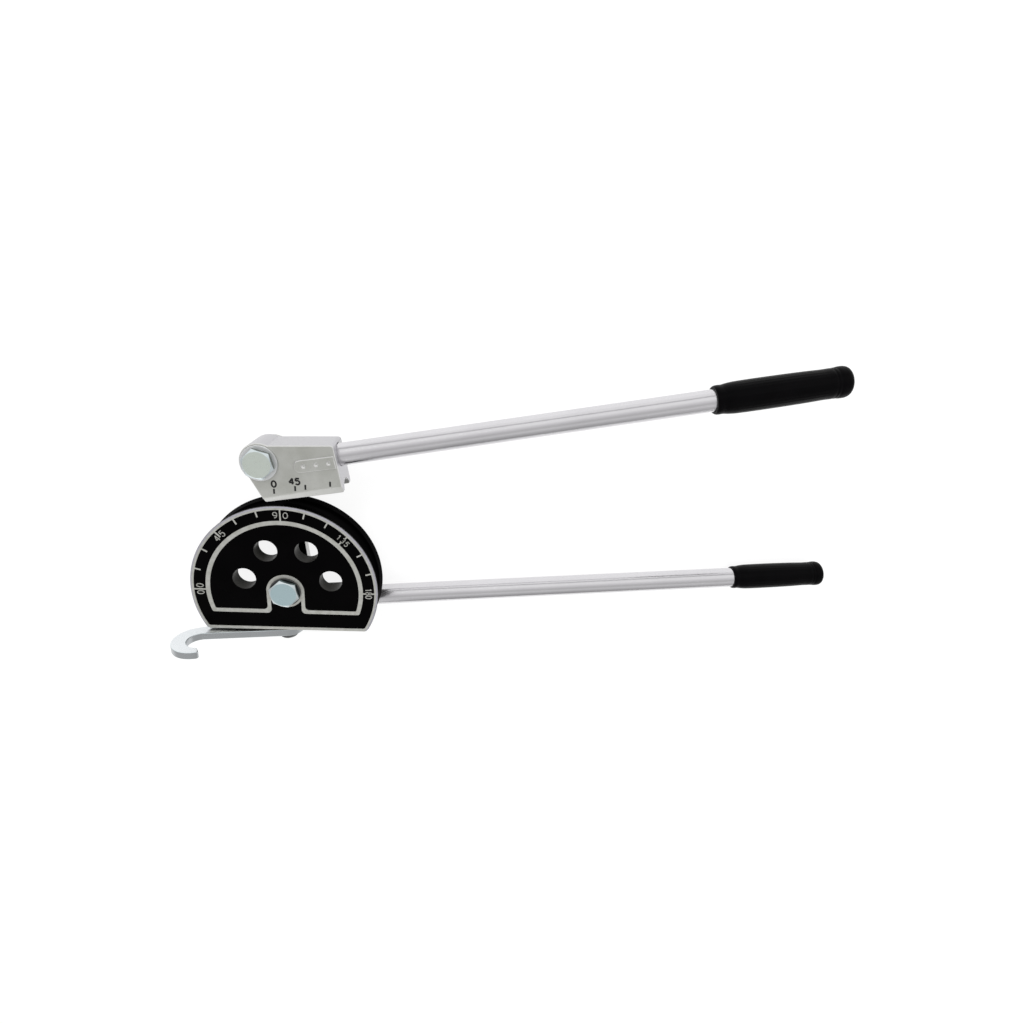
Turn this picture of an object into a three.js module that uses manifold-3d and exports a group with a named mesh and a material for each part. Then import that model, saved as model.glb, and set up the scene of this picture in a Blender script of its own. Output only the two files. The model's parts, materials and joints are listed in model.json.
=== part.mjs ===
import * as THREE from 'three';
import { mergeVertices } from 'three/addons/utils/BufferGeometryUtils.js';
import Module from 'manifold-3d';

// Lever tube bender, in millimetres, lying on its back on a bench with the dial face up.
// X runs along the handles, Y runs from the wheel's flat edge towards its top, Z is up.
// The bench is Z = 0 and the form wheel turns about nothing: its axis is X = Y = 0.

const wasm = await Module();
wasm.setup();

// Bent tube and form wheel
const bentTubeDiameter = 22.2;
const bendRadius = 82.55;
const grooveClearance = 0.2;
const rimLip = 1.95;
const rimEdge = 1.8;
const wheelThickness = 34.5;
const wheelFlatDrop = 41.3;
const wheelCornerRadius = 4;
const webThickness = 15;
const rimWall = 7;
const hubRadius = 18.5;
const pocketDrop = 12;
const pocketCorner = 6;
const ribThickness = 6;
const ribSetBack = 4;
const ribAngles = [88, 40];
const lighteningHoleRadius = 10.4;
const lighteningHoleAngles = [161.9, 110.7, 63.2, 15.9];
const lighteningHoleReachShares = [0.452, 0.514, 0.543, 0.511];

// Raised dial on the wheel's front face
const dialRelief = 0.8;
const rimLineWidth = 3;
const flatLineWidth = 3.3;
const ringRadius = 71.1;
const ringLineWidth = 4;
const ringFootDrop = 23.3;
const ringFootWidth = 4.2;
const ringCorner = 2.5;
const archRadius = 17.2;
const archLineWidth = 3.4;
const archFlare = 4;
const pivotPadRadius = 15.6;
const tickWidth = 1.4;
const tickLength = 5.3;
const middleTickLength = 6.5;
const tickStepDegrees = 15;
const longTickStepDegrees = 90;

// Shoulder bolts of the two big pivots, with their nuts and washers
const boltRadius = 8;
const studRadius = 6;
const studTip = 4;
const studChamfer = 1;
const headAcrossFlats = 24.5;
const headHeight = 4.5;
const nutAcrossFlats = 19;
const nutHeight = 10.8;
const hexChamferShare = 1.02;
const hexChamferHeightShare = 0.22;
const wheelWasherRadius = 14.7;
const wheelWasherThickness = 1.4;
const shoeWasherRadius = 16.5;
const shoeWasherThickness = 2;
const thrustWasherRadius = 15;
const thrustWasherThickness = 1.5;
const nutWasherRadius = 13;
const nutWasherThickness = 2;
const washerEdge = 0.3;
const wheelBoltTurn = 36;
const shoeBoltTurn = 49;

// Clearances: between faces that seat or turn on each other, and round shafts
const seatGap = 0.3;
const shaftGap = 0.3;
const cutOverrun = 2;

// Link, and the gap that it leaves between the wheel's rim and the sole of the shoe
const shoeRimGap = 4.1;
const linkThickness = 10;
const linkEyeRadius = 16.5;
const linkHalfWidth = 14;
const linkFillet = 20;
const linkEdge = 0.8;
const bushWall = 2.7;
const linkRestAngle = 96.4;

// Bending shoe, measured from its pivot along and up from its sole
const shoeFrontReach = 64.5;
const shoeHeelReach = 4.5;
const shoeSoleDrop = 36.3;
const shoeHubRadius = 17.2;
const shoeHeelTopReach = 10.9;
const shoeHeelTopDrop = 12.1;
const shoeTopAtHub = 15.2;
const shoeTopAtFront = 7;
const shoeTopCorner = 3;
const shoeSoleCorner = 1.6;
const shoeEdge = 0.9;
const shoeGrooveLift = 8.65;
const soleBevelHeight = 6.3;
const soleBevelDepth = 2.4;
const stakePadStart = 27.8;
const stakePadTop = 2;
const stakePadHeight = 11.3;
const stakePadCorner = 4;
const stakePadRelief = 0.8;
const stakeCount = 3;
const stakeStart = 36.2;
const stakePitch = 10.8;
const stakeRadius = 1.7;
const stakeDepth = 1.1;
const shoeRestSlope = 10.5;

// Handles. The lower one dips a little, so that its grip lies on the bench.
const handleTubeRadius = 10.15;
const handleTubeWall = 2;
const gripEndWall = 8;
const upperGripRadius = 14.35;
const upperHandleDrop = 6.8;
const upperHandleTilt = 1.18;
const upperSocketStart = 29;
const upperGripStart = 401.5;
const upperGripLength = 123.6;
const lowerGripRadius = 12.9;
const lowerHandleSlope = 4.94;
const lowerHandleDip = 0.5;
const lowerGripStart = 451.6;
const lowerGripLength = 99.4;
const socketStart = 8;
const socketRimSetBack = 14.5;
const socketWall = 3.75;
const socketFloor = 6;
const socketLinkClearance = 1.9;
const socketEdge = 1;
const pinRadius = 2.5;
const pinSetBack = 0.7;
const pinWall = 1;
const pinReachShares = [0.3, 0.78];
const gripOutlineShares = [
  [0, 0.85], [0.01, 0.9], [0.03, 0.92], [0.06, 0.91], [0.1, 0.96], [0.16, 1], [0.4, 1.01], [0.68, 0.985],
  [0.8, 0.955], [0.86, 0.96], [0.872, 0.94], [0.884, 0.97], [0.896, 0.95], [0.91, 0.985], [0.935, 1],
  [0.96, 0.97], [0.982, 0.84], [0.995, 0.62], [1, 0.4],
];

// Tube hook under the wheel's flat edge
const hookPivotOffset = 4.5;
const hookThickness = 7;
const hookEyeRadius = 17.5;
const clawClearance = 0.4;
const clawOuterRadius = 21;
const clawOuterShift = 2.7;
const clawOuterLift = 2.5;
const clawTipInnerAngle = -70;
const clawTipOuterAngle = -90;
const clawTipCorner = 2;
const hookEdge = 0.5;
const hookScrewRadius = 5;
const hookScrewDepth = 20;
const hookScrewAcrossFlats = 16;
const hookScrewHeadHeight = 5.4;
const hookSleeveWall = 2;
const hookWasherRadius = 11;
const hookWasherThickness = 1;
const springWasherThickness = 0.8;
const springWasherRise = 0.5;
const hookRestAngle = 27.6;

// Facet counts
const arcStep = 9;
const wheelSegments = 66;
const roundSegments = 26;
const smallSegments = 18;

// Sizes that follow from those above
const rimRadius = bendRadius + rimLip;
const linkLength = rimRadius + shoeRimGap + shoeSoleDrop;
const bentTubeRadius = bentTubeDiameter / 2;
const grooveRadius = bentTubeRadius + grooveClearance;
const pocketRadius = bendRadius - grooveRadius - rimWall;
const boltHoleRadius = boltRadius + shaftGap;
const bushRadius = boltHoleRadius + bushWall;
const bushHoleRadius = bushRadius + shaftGap;
const nutWasherFloor = studTip + nutHeight + seatGap;
const shoulderFloor = nutWasherFloor + nutWasherThickness + seatGap;
const linkFloor = shoulderFloor;
const thrustWasherFloor = linkFloor + linkThickness + seatGap;
const wheelBack = thrustWasherFloor + thrustWasherThickness + seatGap;
const wheelFront = wheelBack + wheelThickness;
const midPlane = wheelBack + wheelThickness / 2;
const socketRadius = handleTubeRadius + shaftGap + socketWall;
const socketLength = rimRadius - socketRimSetBack - socketStart;
const lowerHandleDrop = linkEyeRadius + socketLinkClearance + socketRadius;
const lowerGripEnd = lowerGripStart + lowerGripLength;
const lowerHandleHeight = lowerGripRadius + lowerGripEnd * Math.sin(THREE.MathUtils.degToRad(lowerHandleDip));
const clawRadius = bentTubeRadius + clawClearance;
const hookReach = bendRadius - hookPivotOffset - clawClearance;
const hookTop = wheelFlatDrop + seatGap + hookWasherThickness + seatGap;
const springWasherTop = hookTop + hookThickness + seatGap;
const hookHeadTop = springWasherTop + springWasherThickness + springWasherRise + seatGap;

// Materials
const finish = (color, roughness, metalness) =>
  new THREE.MeshStandardMaterial({ color, roughness, metalness });
const blackEnamel = finish(0x0b0b0c, 0.35, 0);
const castAluminium = finish(0xb0b1a8, 0.5, 0.6);
const zincPlate = finish(0xc3cbcd, 0.3, 0.9);
const brightTube = finish(0xd6d4d8, 0.2, 0.9);
const linkEnamel = finish(0x101011, 0.4, 0);
const bronze = finish(0xb08d57, 0.4, 0.9);
const springSteel = finish(0x6d6f73, 0.4, 0.9);
const blackVinyl = finish(0x101012, 0.3, 0);

const radians = THREE.MathUtils.degToRad;
const degrees = THREE.MathUtils.radToDeg;

// Solids
function solidOf(geometry) {
  geometry.deleteAttribute('normal');
  geometry.deleteAttribute('uv');
  const merged = mergeVertices(geometry);
  const corners = merged.index.array;
  const kept = [];
  for (let i = 0; i < corners.length; i += 3) {
    const [a, b, c] = [corners[i], corners[i + 1], corners[i + 2]];
    if (a !== b && b !== c && c !== a) kept.push(a, b, c);
  }
  const vertProperties = new Float32Array(merged.attributes.position.array);
  const triVerts = new Uint32Array(kept);
  return new wasm.Manifold(new wasm.Mesh({ numProp: 3, vertProperties, triVerts }));
}

function geometryOf(solid) {
  const { vertProperties, triVerts } = solid.getMesh();
  const geometry = new THREE.BufferGeometry();
  geometry.setAttribute('position', new THREE.BufferAttribute(new Float32Array(vertProperties), 3));
  geometry.setIndex(new THREE.BufferAttribute(new Uint32Array(triVerts), 1));
  geometry.computeVertexNormals();
  return geometry;
}

const join = (...solids) => solids.reduce((all, one) => all.add(one));
const cut = (body, ...tools) => tools.reduce((left, tool) => left.subtract(tool), body);

function place(name, solid, material, parent) {
  const mesh = new THREE.Mesh(geometryOf(solid), material);
  mesh.name = name;
  parent.add(mesh);
  return mesh;
}

// Outlines
function arc(cx, cy, radius, from, to, step = arcStep) {
  const count = Math.max(1, Math.ceil(Math.abs(to - from) / step));
  const points = [];
  for (let i = 0; i <= count; i += 1) {
    const angle = radians(from + ((to - from) * i) / count);
    points.push([cx + radius * Math.cos(angle), cy + radius * Math.sin(angle)]);
  }
  return points;
}

function roundedOutline(corners) {
  return corners.flatMap(([x, y, radius], i) => {
    if (radius === 0) return [[x, y]];
    const before = corners[(i + corners.length - 1) % corners.length];
    const after = corners[(i + 1) % corners.length];
    const here = new THREE.Vector2(x, y);
    const back = new THREE.Vector2(before[0], before[1]).sub(here).normalize();
    const ahead = new THREE.Vector2(after[0], after[1]).sub(here).normalize();
    const half = Math.acos(back.dot(ahead)) / 2;
    const centre = back.clone().add(ahead).setLength(radius / Math.sin(half)).add(here);
    const start = here.clone().addScaledVector(back, radius / Math.tan(half)).sub(centre);
    const end = here.clone().addScaledVector(ahead, radius / Math.tan(half)).sub(centre);
    const from = degrees(Math.atan2(start.y, start.x));
    let turn = degrees(Math.atan2(end.y, end.x)) - from;
    if (turn > 180) turn -= 360;
    if (turn < -180) turn += 360;
    return arc(centre.x, centre.y, radius, from, from + turn, 2 * arcStep);
  });
}

// A circle with a flat edge below, and rounded corners between the two
function dOutline(radius, drop, corner, overrun = 0, step = 360 / wheelSegments) {
  const cy = corner - drop;
  const cx = Math.sqrt((radius - corner) ** 2 - cy ** 2);
  const tip = degrees(Math.atan2(cy, cx));
  const round = arc(0, 0, radius + overrun, tip, 180 - tip, step);
  return [
    ...arc(-cx, cy, corner, 180 - tip, 270, 2 * arcStep),
    ...arc(cx, cy, corner, -90, tip, 2 * arcStep),
    ...(overrun > 0 ? round : round.slice(1, -1)),
  ];
}

// A half round standing on a straight stem whose foot flares out
function archOutline(radius, footDrop, flare, overrun) {
  const knee = flare - footDrop;
  return [
    ...arc(0, 0, radius, 0, 180),
    ...arc(-radius - flare, knee, flare, 0, -90, 2 * arcStep),
    [-radius - flare, -footDrop - overrun],
    [radius + flare, -footDrop - overrun],
    ...arc(radius + flare, knee, flare, 270, 180, 2 * arcStep),
  ];
}

// An eye at the origin that narrows into a straight bar with a round end, along +X
function eyeBarOutline(length, eyeRadius, halfWidth, fillet) {
  const blend = Math.sqrt((eyeRadius + fillet) ** 2 - (halfWidth + fillet) ** 2);
  const lean = degrees(Math.atan2(halfWidth + fillet, blend));
  return [
    ...arc(0, 0, eyeRadius, lean, 360 - lean),
    ...arc(blend, -halfWidth - fillet, fillet, 180 - lean, 90).slice(1),
    ...arc(length, 0, halfWidth, -90, 90),
    ...arc(blend, halfWidth + fillet, fillet, -90, lean - 180).slice(0, -1),
  ];
}

// Basic forms, all built upright along Z
function plate(outline, from, to, edge = 0) {
  const shape = new THREE.Shape(outline.map(([x, y]) => new THREE.Vector2(x, y)));
  const geometry = new THREE.ExtrudeGeometry(shape, {
    depth: to - from - 2 * edge,
    bevelEnabled: edge > 0,
    bevelThickness: edge,
    bevelSize: edge,
    bevelOffset: -edge,
    bevelSegments: 1,
  });
  return geometry.translate(0, 0, from + edge);
}

function turned(profile, segments = roundSegments) {
  const points = profile.map(([radius, height]) => new THREE.Vector2(radius, height));
  return new THREE.LatheGeometry(points, segments).rotateX(Math.PI / 2);
}

function rod(radius, from, to, segments = roundSegments) {
  return turned([[0, from], [radius, from], [radius, to], [0, to]], segments);
}

function ring(inner, outer, from, to, edge = 0, segments = roundSegments) {
  return turned([
    [inner, from], [outer - edge, from], [outer, from + edge], [outer, to - edge], [outer - edge, to],
    [inner, to], [inner, from],
  ], segments);
}

// Hexagon with its corners turned off at one end or both
function hexBody(acrossFlats, from, to, turn, bothEnds) {
  const cornerRadius = acrossFlats / Math.sqrt(3);
  const hexagon = [0, 1, 2, 3, 4, 5].map((side) => {
    const angle = radians(turn + side * 60);
    return [cornerRadius * Math.cos(angle), cornerRadius * Math.sin(angle)];
  });
  const faceRadius = (acrossFlats / 2) * hexChamferShare;
  const rise = (to - from) * hexChamferHeightShare;
  const wide = cornerRadius + cutOverrun;
  const fall = (rise * (wide - faceRadius)) / (cornerRadius - faceRadius);
  const foot = bothEnds ? [[0, from], [faceRadius, from], [wide, from + fall]] : [[0, from], [wide, from]];
  const envelope = turned([...foot, [wide, to - fall], [faceRadius, to], [0, to]]);
  return solidOf(plate(hexagon, from, to)).intersect(solidOf(envelope));
}

// A screw whose shank follows the profile, from its tip up into the head
function hexBolt(shank, length, acrossFlats, head, turn) {
  const inHead = length + head / 2;
  const body = turned([[0, 0], ...shank, [shank.at(-1)[0], inHead], [0, inHead]]);
  return join(solidOf(body), hexBody(acrossFlats, length, length + head, turn, false));
}

// Frames. A handle frame has its Z along the tube, its X across it and its Y square to the dial.
function frame(xAxis, yAxis, zAxis) {
  return new THREE.Matrix4().makeBasis(...[xAxis, yAxis, zAxis].map((axis) => new THREE.Vector3(...axis)));
}

function handleFrame(slope, dip, drop, height) {
  const lie = frame([0, 1, 0], [0, 0, 1], [1, 0, 0]);
  lie.premultiply(new THREE.Matrix4().makeRotationY(radians(dip)));
  lie.premultiply(new THREE.Matrix4().makeTranslation(0, -drop, height));
  return lie.premultiply(new THREE.Matrix4().makeRotationZ(radians(slope)));
}

const lowerHandleFrame = handleFrame(lowerHandleSlope, lowerHandleDip, lowerHandleDrop, lowerHandleHeight);
const upperHandleFrame = handleFrame(upperHandleTilt, 0, upperHandleDrop, 0);

const bender = new THREE.Group();
const shoePivot = new THREE.Vector2(linkLength, 0).rotateAround(new THREE.Vector2(), radians(linkRestAngle));

const linkGroup = new THREE.Group();
linkGroup.rotation.z = radians(linkRestAngle);
bender.add(linkGroup);

const shoeGroup = new THREE.Group();
shoeGroup.position.set(shoePivot.x, shoePivot.y, midPlane);
shoeGroup.rotation.z = radians(shoeRestSlope);
bender.add(shoeGroup);

const lowerHandleGroup = new THREE.Group();
lowerHandleGroup.applyMatrix4(lowerHandleFrame);
bender.add(lowerHandleGroup);

const upperHandleGroup = new THREE.Group();
upperHandleGroup.applyMatrix4(upperHandleFrame);
shoeGroup.add(upperHandleGroup);

// The hook's own frame has X from its pivot to the claw and Z down, away from the wheel's flat edge
const hookGroup = new THREE.Group();
hookGroup.applyMatrix4(frame([-1, 0, 0], [0, 0, -1], [0, -1, 0]));
hookGroup.position.set(-hookPivotOffset, 0, midPlane);
bender.add(hookGroup);

const hookPlateGroup = new THREE.Group();
hookPlateGroup.rotation.z = -radians(hookRestAngle);
hookGroup.add(hookPlateGroup);

// Form wheel
function wheelBlank() {
  const middle = wheelThickness / 2;
  const profile = [
    [0, 0], [rimRadius - rimEdge, 0], [rimRadius, rimEdge], [rimRadius, middle - grooveRadius],
    ...arc(bendRadius, middle, grooveRadius, 270, 90, 2 * arcStep),
    [rimRadius, middle + grooveRadius], [rimRadius, wheelThickness - rimEdge],
    [rimRadius - rimEdge, wheelThickness], [0, wheelThickness],
  ];
  const outline = dOutline(rimRadius, wheelFlatDrop, wheelCornerRadius, cutOverrun);
  const blank = turned(profile, wheelSegments);
  return solidOf(blank).intersect(solidOf(plate(outline, -cutOverrun, wheelThickness + cutOverrun)));
}

// The sunk ground of the dial. What it leaves standing are the rim line, the ring line and the ticks.
function dialGround() {
  const floor = wheelThickness - dialRelief;
  const roof = wheelThickness + cutOverrun;
  const sheet = (outline) => solidOf(plate(outline, floor, roof));
  const groundRadius = rimRadius - rimLineWidth;
  const ground = sheet(dOutline(groundRadius, wheelFlatDrop - flatLineWidth, ringCorner));
  const innerFoot = ringFootDrop - ringFootWidth;
  const innerPanel = cut(
    sheet(dOutline(ringRadius - ringLineWidth, innerFoot, ringCorner / 2)),
    sheet(archOutline(archRadius, innerFoot, archFlare, ringFootWidth)),
  );
  const ringLine = cut(
    sheet(dOutline(ringRadius, ringFootDrop, ringCorner)),
    innerPanel,
    sheet(archOutline(archRadius - archLineWidth, ringFootDrop, archFlare, ringFootWidth)),
  );
  const pad = sheet(arc(0, 0, pivotPadRadius, 0, 360).slice(1));
  const ticks = [];
  for (let reading = 0; reading <= 180; reading += tickStepDegrees) {
    const isLong = reading % longTickStepDegrees === 0;
    const isMiddle = (2 * reading) % longTickStepDegrees === 0;
    const length = isMiddle ? middleTickLength : tickLength;
    const inner = isLong ? ringRadius - ringLineWidth / 2 : groundRadius - length;
    const bar = new THREE.BoxGeometry(groundRadius - inner + rimLineWidth / 2, tickWidth, roof - floor);
    bar.translate((groundRadius + inner + rimLineWidth / 2) / 2, 0, (roof + floor) / 2);
    bar.rotateZ(radians(180 - reading));
    ticks.push(solidOf(bar));
  }
  return cut(ground, ringLine, pad, ...ticks);
}

// Pocket in the back, with the hub and low ribs left standing
function backPocket() {
  const depth = wheelThickness - webThickness;
  const pocket = solidOf(plate(dOutline(pocketRadius, pocketDrop, pocketCorner), -cutOverrun, depth));
  const hub = solidOf(rod(hubRadius, -cutOverrun, depth));
  const ribs = ribAngles.map((angle) => {
    const rib = new THREE.BoxGeometry(pocketRadius, ribThickness, depth - ribSetBack);
    rib.translate(pocketRadius / 2 + cutOverrun, 0, (depth + ribSetBack) / 2);
    return solidOf(rib.rotateZ(radians(angle)));
  });
  return cut(pocket, hub, ...ribs);
}

// Socket for the lower handle, standing on the wheel's back
function handleSocket() {
  const back = wheelBack - lowerHandleHeight;
  const embed = back + webThickness / 2;
  const outline = [
    ...arc(0, 0, socketRadius, 180, 360),
    [socketRadius, embed],
    [-socketRadius / 2, embed],
    [-socketRadius, back],
  ];
  const block = plate(outline, socketStart, socketStart + socketLength, socketEdge);
  return solidOf(block.applyMatrix4(lowerHandleFrame));
}

function socketPinPlaces() {
  return pinReachShares.map((share) => socketStart + share * socketLength);
}

function formWheel() {
  const lift = new THREE.Matrix4().makeTranslation(0, 0, wheelBack);
  const blank = cut(wheelBlank(), dialGround(), backPocket());
  const body = join(solidOf(geometryOf(blank).applyMatrix4(lift)), handleSocket());
  const bores = [solidOf(rod(boltHoleRadius, wheelBack - cutOverrun, wheelFront + cutOverrun))];
  lighteningHoleAngles.forEach((angle, i) => {
    const hole = rod(lighteningHoleRadius, wheelBack + ribSetBack, wheelFront + cutOverrun, smallSegments);
    hole.translate(rimRadius * lighteningHoleReachShares[i], 0, 0);
    bores.push(solidOf(hole.rotateZ(radians(angle))));
  });
  const tubeHole = rod(handleTubeRadius + shaftGap, socketStart + socketFloor,
    socketStart + socketLength + cutOverrun);
  bores.push(solidOf(tubeHole.applyMatrix4(lowerHandleFrame)));
  for (const reach of socketPinPlaces()) {
    const half = socketRadius + cutOverrun;
    const pinHole = rod(pinRadius + shaftGap, -half, half, smallSegments);
    pinHole.rotateY(Math.PI / 2).translate(0, 0, reach);
    bores.push(solidOf(pinHole.applyMatrix4(lowerHandleFrame)));
  }
  const screwHole = rod(hookScrewRadius + shaftGap, -hookScrewDepth - cutOverrun, cutOverrun, smallSegments);
  screwHole.rotateX(Math.PI / 2).translate(-hookPivotOffset, -wheelFlatDrop, midPlane);
  bores.push(solidOf(screwHole));
  return cut(body, ...bores);
}

place('form_wheel', formWheel(), blackEnamel, bender);

// Shoulder bolt, washers and nut of one big pivot. The shoulder carries the link, and the nut and
// its washer hold the link on from below.
function pivotStack(names, parent, washerRadius, washerThickness, turn) {
  const washer = (hole, radius, from, thickness) =>
    solidOf(ring(hole, radius, from, from + thickness, washerEdge));
  const studHole = studRadius + shaftGap;
  const headWasherFloor = wheelFront + seatGap;
  const headFloor = headWasherFloor + washerThickness + seatGap;
  const shank = [
    [studRadius - studChamfer, 0], [studRadius, studChamfer], [studRadius, shoulderFloor],
    [boltRadius, shoulderFloor],
  ];
  const bolt = hexBolt(shank, headFloor, headAcrossFlats, headHeight, turn);
  const nutTop = studTip + nutHeight;
  const nutBore = solidOf(rod(studHole, studTip - cutOverrun, nutTop + cutOverrun, smallSegments));
  const nut = cut(hexBody(nutAcrossFlats, studTip, nutTop, turn, true), nutBore);
  const headWasher = washer(boltHoleRadius, washerRadius, headWasherFloor, washerThickness);
  const thrustWasher = washer(boltHoleRadius, thrustWasherRadius, thrustWasherFloor, thrustWasherThickness);
  const nutWasher = washer(studHole, nutWasherRadius, nutWasherFloor, nutWasherThickness);
  place(names.bolt, bolt, zincPlate, parent);
  place(names.headWasher, headWasher, zincPlate, parent);
  place(names.thrustWasher, thrustWasher, bronze, parent);
  place(names.nutWasher, nutWasher, zincPlate, parent);
  place(names.nut, nut, zincPlate, parent);
}

pivotStack({
  bolt: 'pivot_bolt',
  headWasher: 'pivot_head_washer',
  thrustWasher: 'pivot_thrust_washer',
  nutWasher: 'pivot_nut_washer',
  nut: 'pivot_nut',
}, bender, wheelWasherRadius, wheelWasherThickness, wheelBoltTurn);

const shoeBoltGroup = new THREE.Group();
shoeBoltGroup.position.x = linkLength;
shoeBoltGroup.rotation.z = -radians(linkRestAngle);
linkGroup.add(shoeBoltGroup);

pivotStack({
  bolt: 'shoe_bolt',
  headWasher: 'shoe_head_washer',
  thrustWasher: 'shoe_thrust_washer',
  nutWasher: 'shoe_nut_washer',
  nut: 'shoe_nut',
}, shoeBoltGroup, shoeWasherRadius, shoeWasherThickness, shoeBoltTurn);

// Link behind the wheel, with a bush where it turns on the pivot bolt
function linkBar() {
  const outline = eyeBarOutline(linkLength, linkEyeRadius, linkHalfWidth, linkFillet);
  const bar = solidOf(plate(outline, linkFloor, linkFloor + linkThickness, linkEdge));
  const bushHole = solidOf(rod(bushHoleRadius, linkFloor - cutOverrun, thrustWasherFloor + cutOverrun));
  const boltHole = rod(boltHoleRadius, linkFloor - cutOverrun, thrustWasherFloor + cutOverrun);
  return cut(bar, bushHole, solidOf(boltHole.translate(linkLength, 0, 0)));
}

place('link_bar', linkBar(), linkEnamel, linkGroup);
const linkBush = ring(boltHoleRadius, bushRadius, linkFloor, linkFloor + linkThickness);
place('link_bush', solidOf(linkBush), bronze, linkGroup);

// Bending shoe
function bendingShoe() {
  const half = wheelThickness / 2;
  const outline = roundedOutline([
    [-shoeHeelReach, -shoeSoleDrop, shoeSoleCorner],
    [shoeFrontReach, -shoeSoleDrop, shoeSoleCorner],
    [shoeFrontReach, shoeTopAtFront, shoeTopCorner],
    [0, shoeTopAtHub, 0],
    [-shoeHeelTopReach, -shoeHeelTopDrop, 0],
  ]);
  const stakePad = roundedOutline([
    [stakePadStart, -stakePadTop - stakePadHeight, stakePadCorner],
    [shoeFrontReach - shoeEdge, -stakePadTop - stakePadHeight, 0],
    [shoeFrontReach - shoeEdge, -stakePadTop, 0],
    [stakePadStart, -stakePadTop, stakePadCorner],
  ]);
  const body = join(
    solidOf(plate(outline, -half, half, shoeEdge)),
    solidOf(plate(arc(0, 0, shoeHubRadius, 0, 360).slice(1), -half, half, shoeEdge)),
    solidOf(plate(stakePad, half - stakePadRelief, half + stakePadRelief, stakePadRelief / 2)),
  );
  const heelEnd = -shoeHeelReach - cutOverrun;
  const reach = shoeFrontReach + cutOverrun - heelEnd;
  const alongSole = frame([0, 1, 0], [0, 0, 1], [1, 0, 0]);
  const groove = rod(grooveRadius, 0, reach);
  groove.applyMatrix4(alongSole).translate(heelEnd, shoeGrooveLift - grooveRadius - shoeSoleDrop, 0);
  const bevelFoot = half - soleBevelDepth * (1 + cutOverrun / soleBevelHeight);
  const bevels = [-1, 1].map((side) => {
    const wedge = [
      [-shoeSoleDrop - cutOverrun, side * bevelFoot],
      [-shoeSoleDrop + soleBevelHeight, side * half],
      [-shoeSoleDrop + soleBevelHeight, side * (half + cutOverrun)],
      [-shoeSoleDrop - cutOverrun, side * (half + cutOverrun)],
    ];
    const prism = plate(side > 0 ? wedge.reverse() : wedge, 0, reach).applyMatrix4(alongSole);
    return solidOf(prism.translate(heelEnd, 0, 0));
  });
  const boltHole = rod(bushHoleRadius, -half - cutOverrun, half + cutOverrun);
  const tubeHole = rod(handleTubeRadius + shaftGap, upperSocketStart, shoeFrontReach + cutOverrun);
  const stakes = Array.from({ length: stakeCount }, (_, i) => {
    const face = half + stakePadRelief;
    const pit = turned([[0, face - stakeDepth], [stakeRadius, face], [stakeRadius, face + cutOverrun],
      [0, face + cutOverrun]], smallSegments / 2);
    return solidOf(pit.translate(stakeStart + i * stakePitch, -stakePadTop - stakePadHeight / 2, 0));
  });
  return cut(body, solidOf(groove), ...bevels, solidOf(boltHole),
    solidOf(tubeHole.applyMatrix4(upperHandleFrame)), ...stakes);
}

place('bending_shoe', bendingShoe(), castAluminium, shoeGroup);
const shoeHalf = wheelThickness / 2;
place('shoe_bush', solidOf(ring(boltHoleRadius, bushRadius, -shoeHalf, shoeHalf)), bronze, shoeGroup);

// Handles: a plain tube in its socket and a moulded grip pushed over the far end
function handleTube(from, to) {
  return solidOf(ring(handleTubeRadius - handleTubeWall, handleTubeRadius, from, to, washerEdge));
}

function grip(radius, start, length) {
  const outside = gripOutlineShares.map(([along, out]) => [radius * out, start + length * along]);
  const bore = handleTubeRadius + shaftGap;
  const boreEnd = start + length - gripEndWall;
  return solidOf(turned([
    [0, boreEnd], [bore, boreEnd], [bore, start], ...outside, [0, start + length],
  ]));
}

const upperTubeEnd = upperGripStart + upperGripLength - gripEndWall - seatGap;
const upperTube = handleTube(upperSocketStart + seatGap, upperTubeEnd);
place('upper_handle_tube', upperTube, brightTube, upperHandleGroup);
place('upper_grip', grip(upperGripRadius, upperGripStart, upperGripLength), blackVinyl, upperHandleGroup);

function lowerTube() {
  const from = socketStart + socketFloor + seatGap;
  const to = lowerGripEnd - gripEndWall - seatGap;
  const holes = socketPinPlaces().map((reach) => {
    const hole = rod(pinRadius + shaftGap, -socketRadius, socketRadius, smallSegments);
    return solidOf(hole.rotateY(Math.PI / 2).translate(0, 0, reach));
  });
  return cut(handleTube(from, to), ...holes);
}

place('lower_handle_tube', lowerTube(), brightTube, lowerHandleGroup);
place('lower_grip', grip(lowerGripRadius, lowerGripStart, lowerGripLength), blackVinyl, lowerHandleGroup);

// Hollow pins across the socket hold the lower handle
socketPinPlaces().forEach((reach, i) => {
  const half = socketRadius - pinSetBack;
  const pin = ring(pinRadius - pinWall, pinRadius, -half, half, washerEdge, smallSegments);
  pin.rotateY(Math.PI / 2).translate(0, 0, reach);
  place(['lower_handle_pin_inner', 'lower_handle_pin_outer'][i], solidOf(pin), springSteel, lowerHandleGroup);
});

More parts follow.
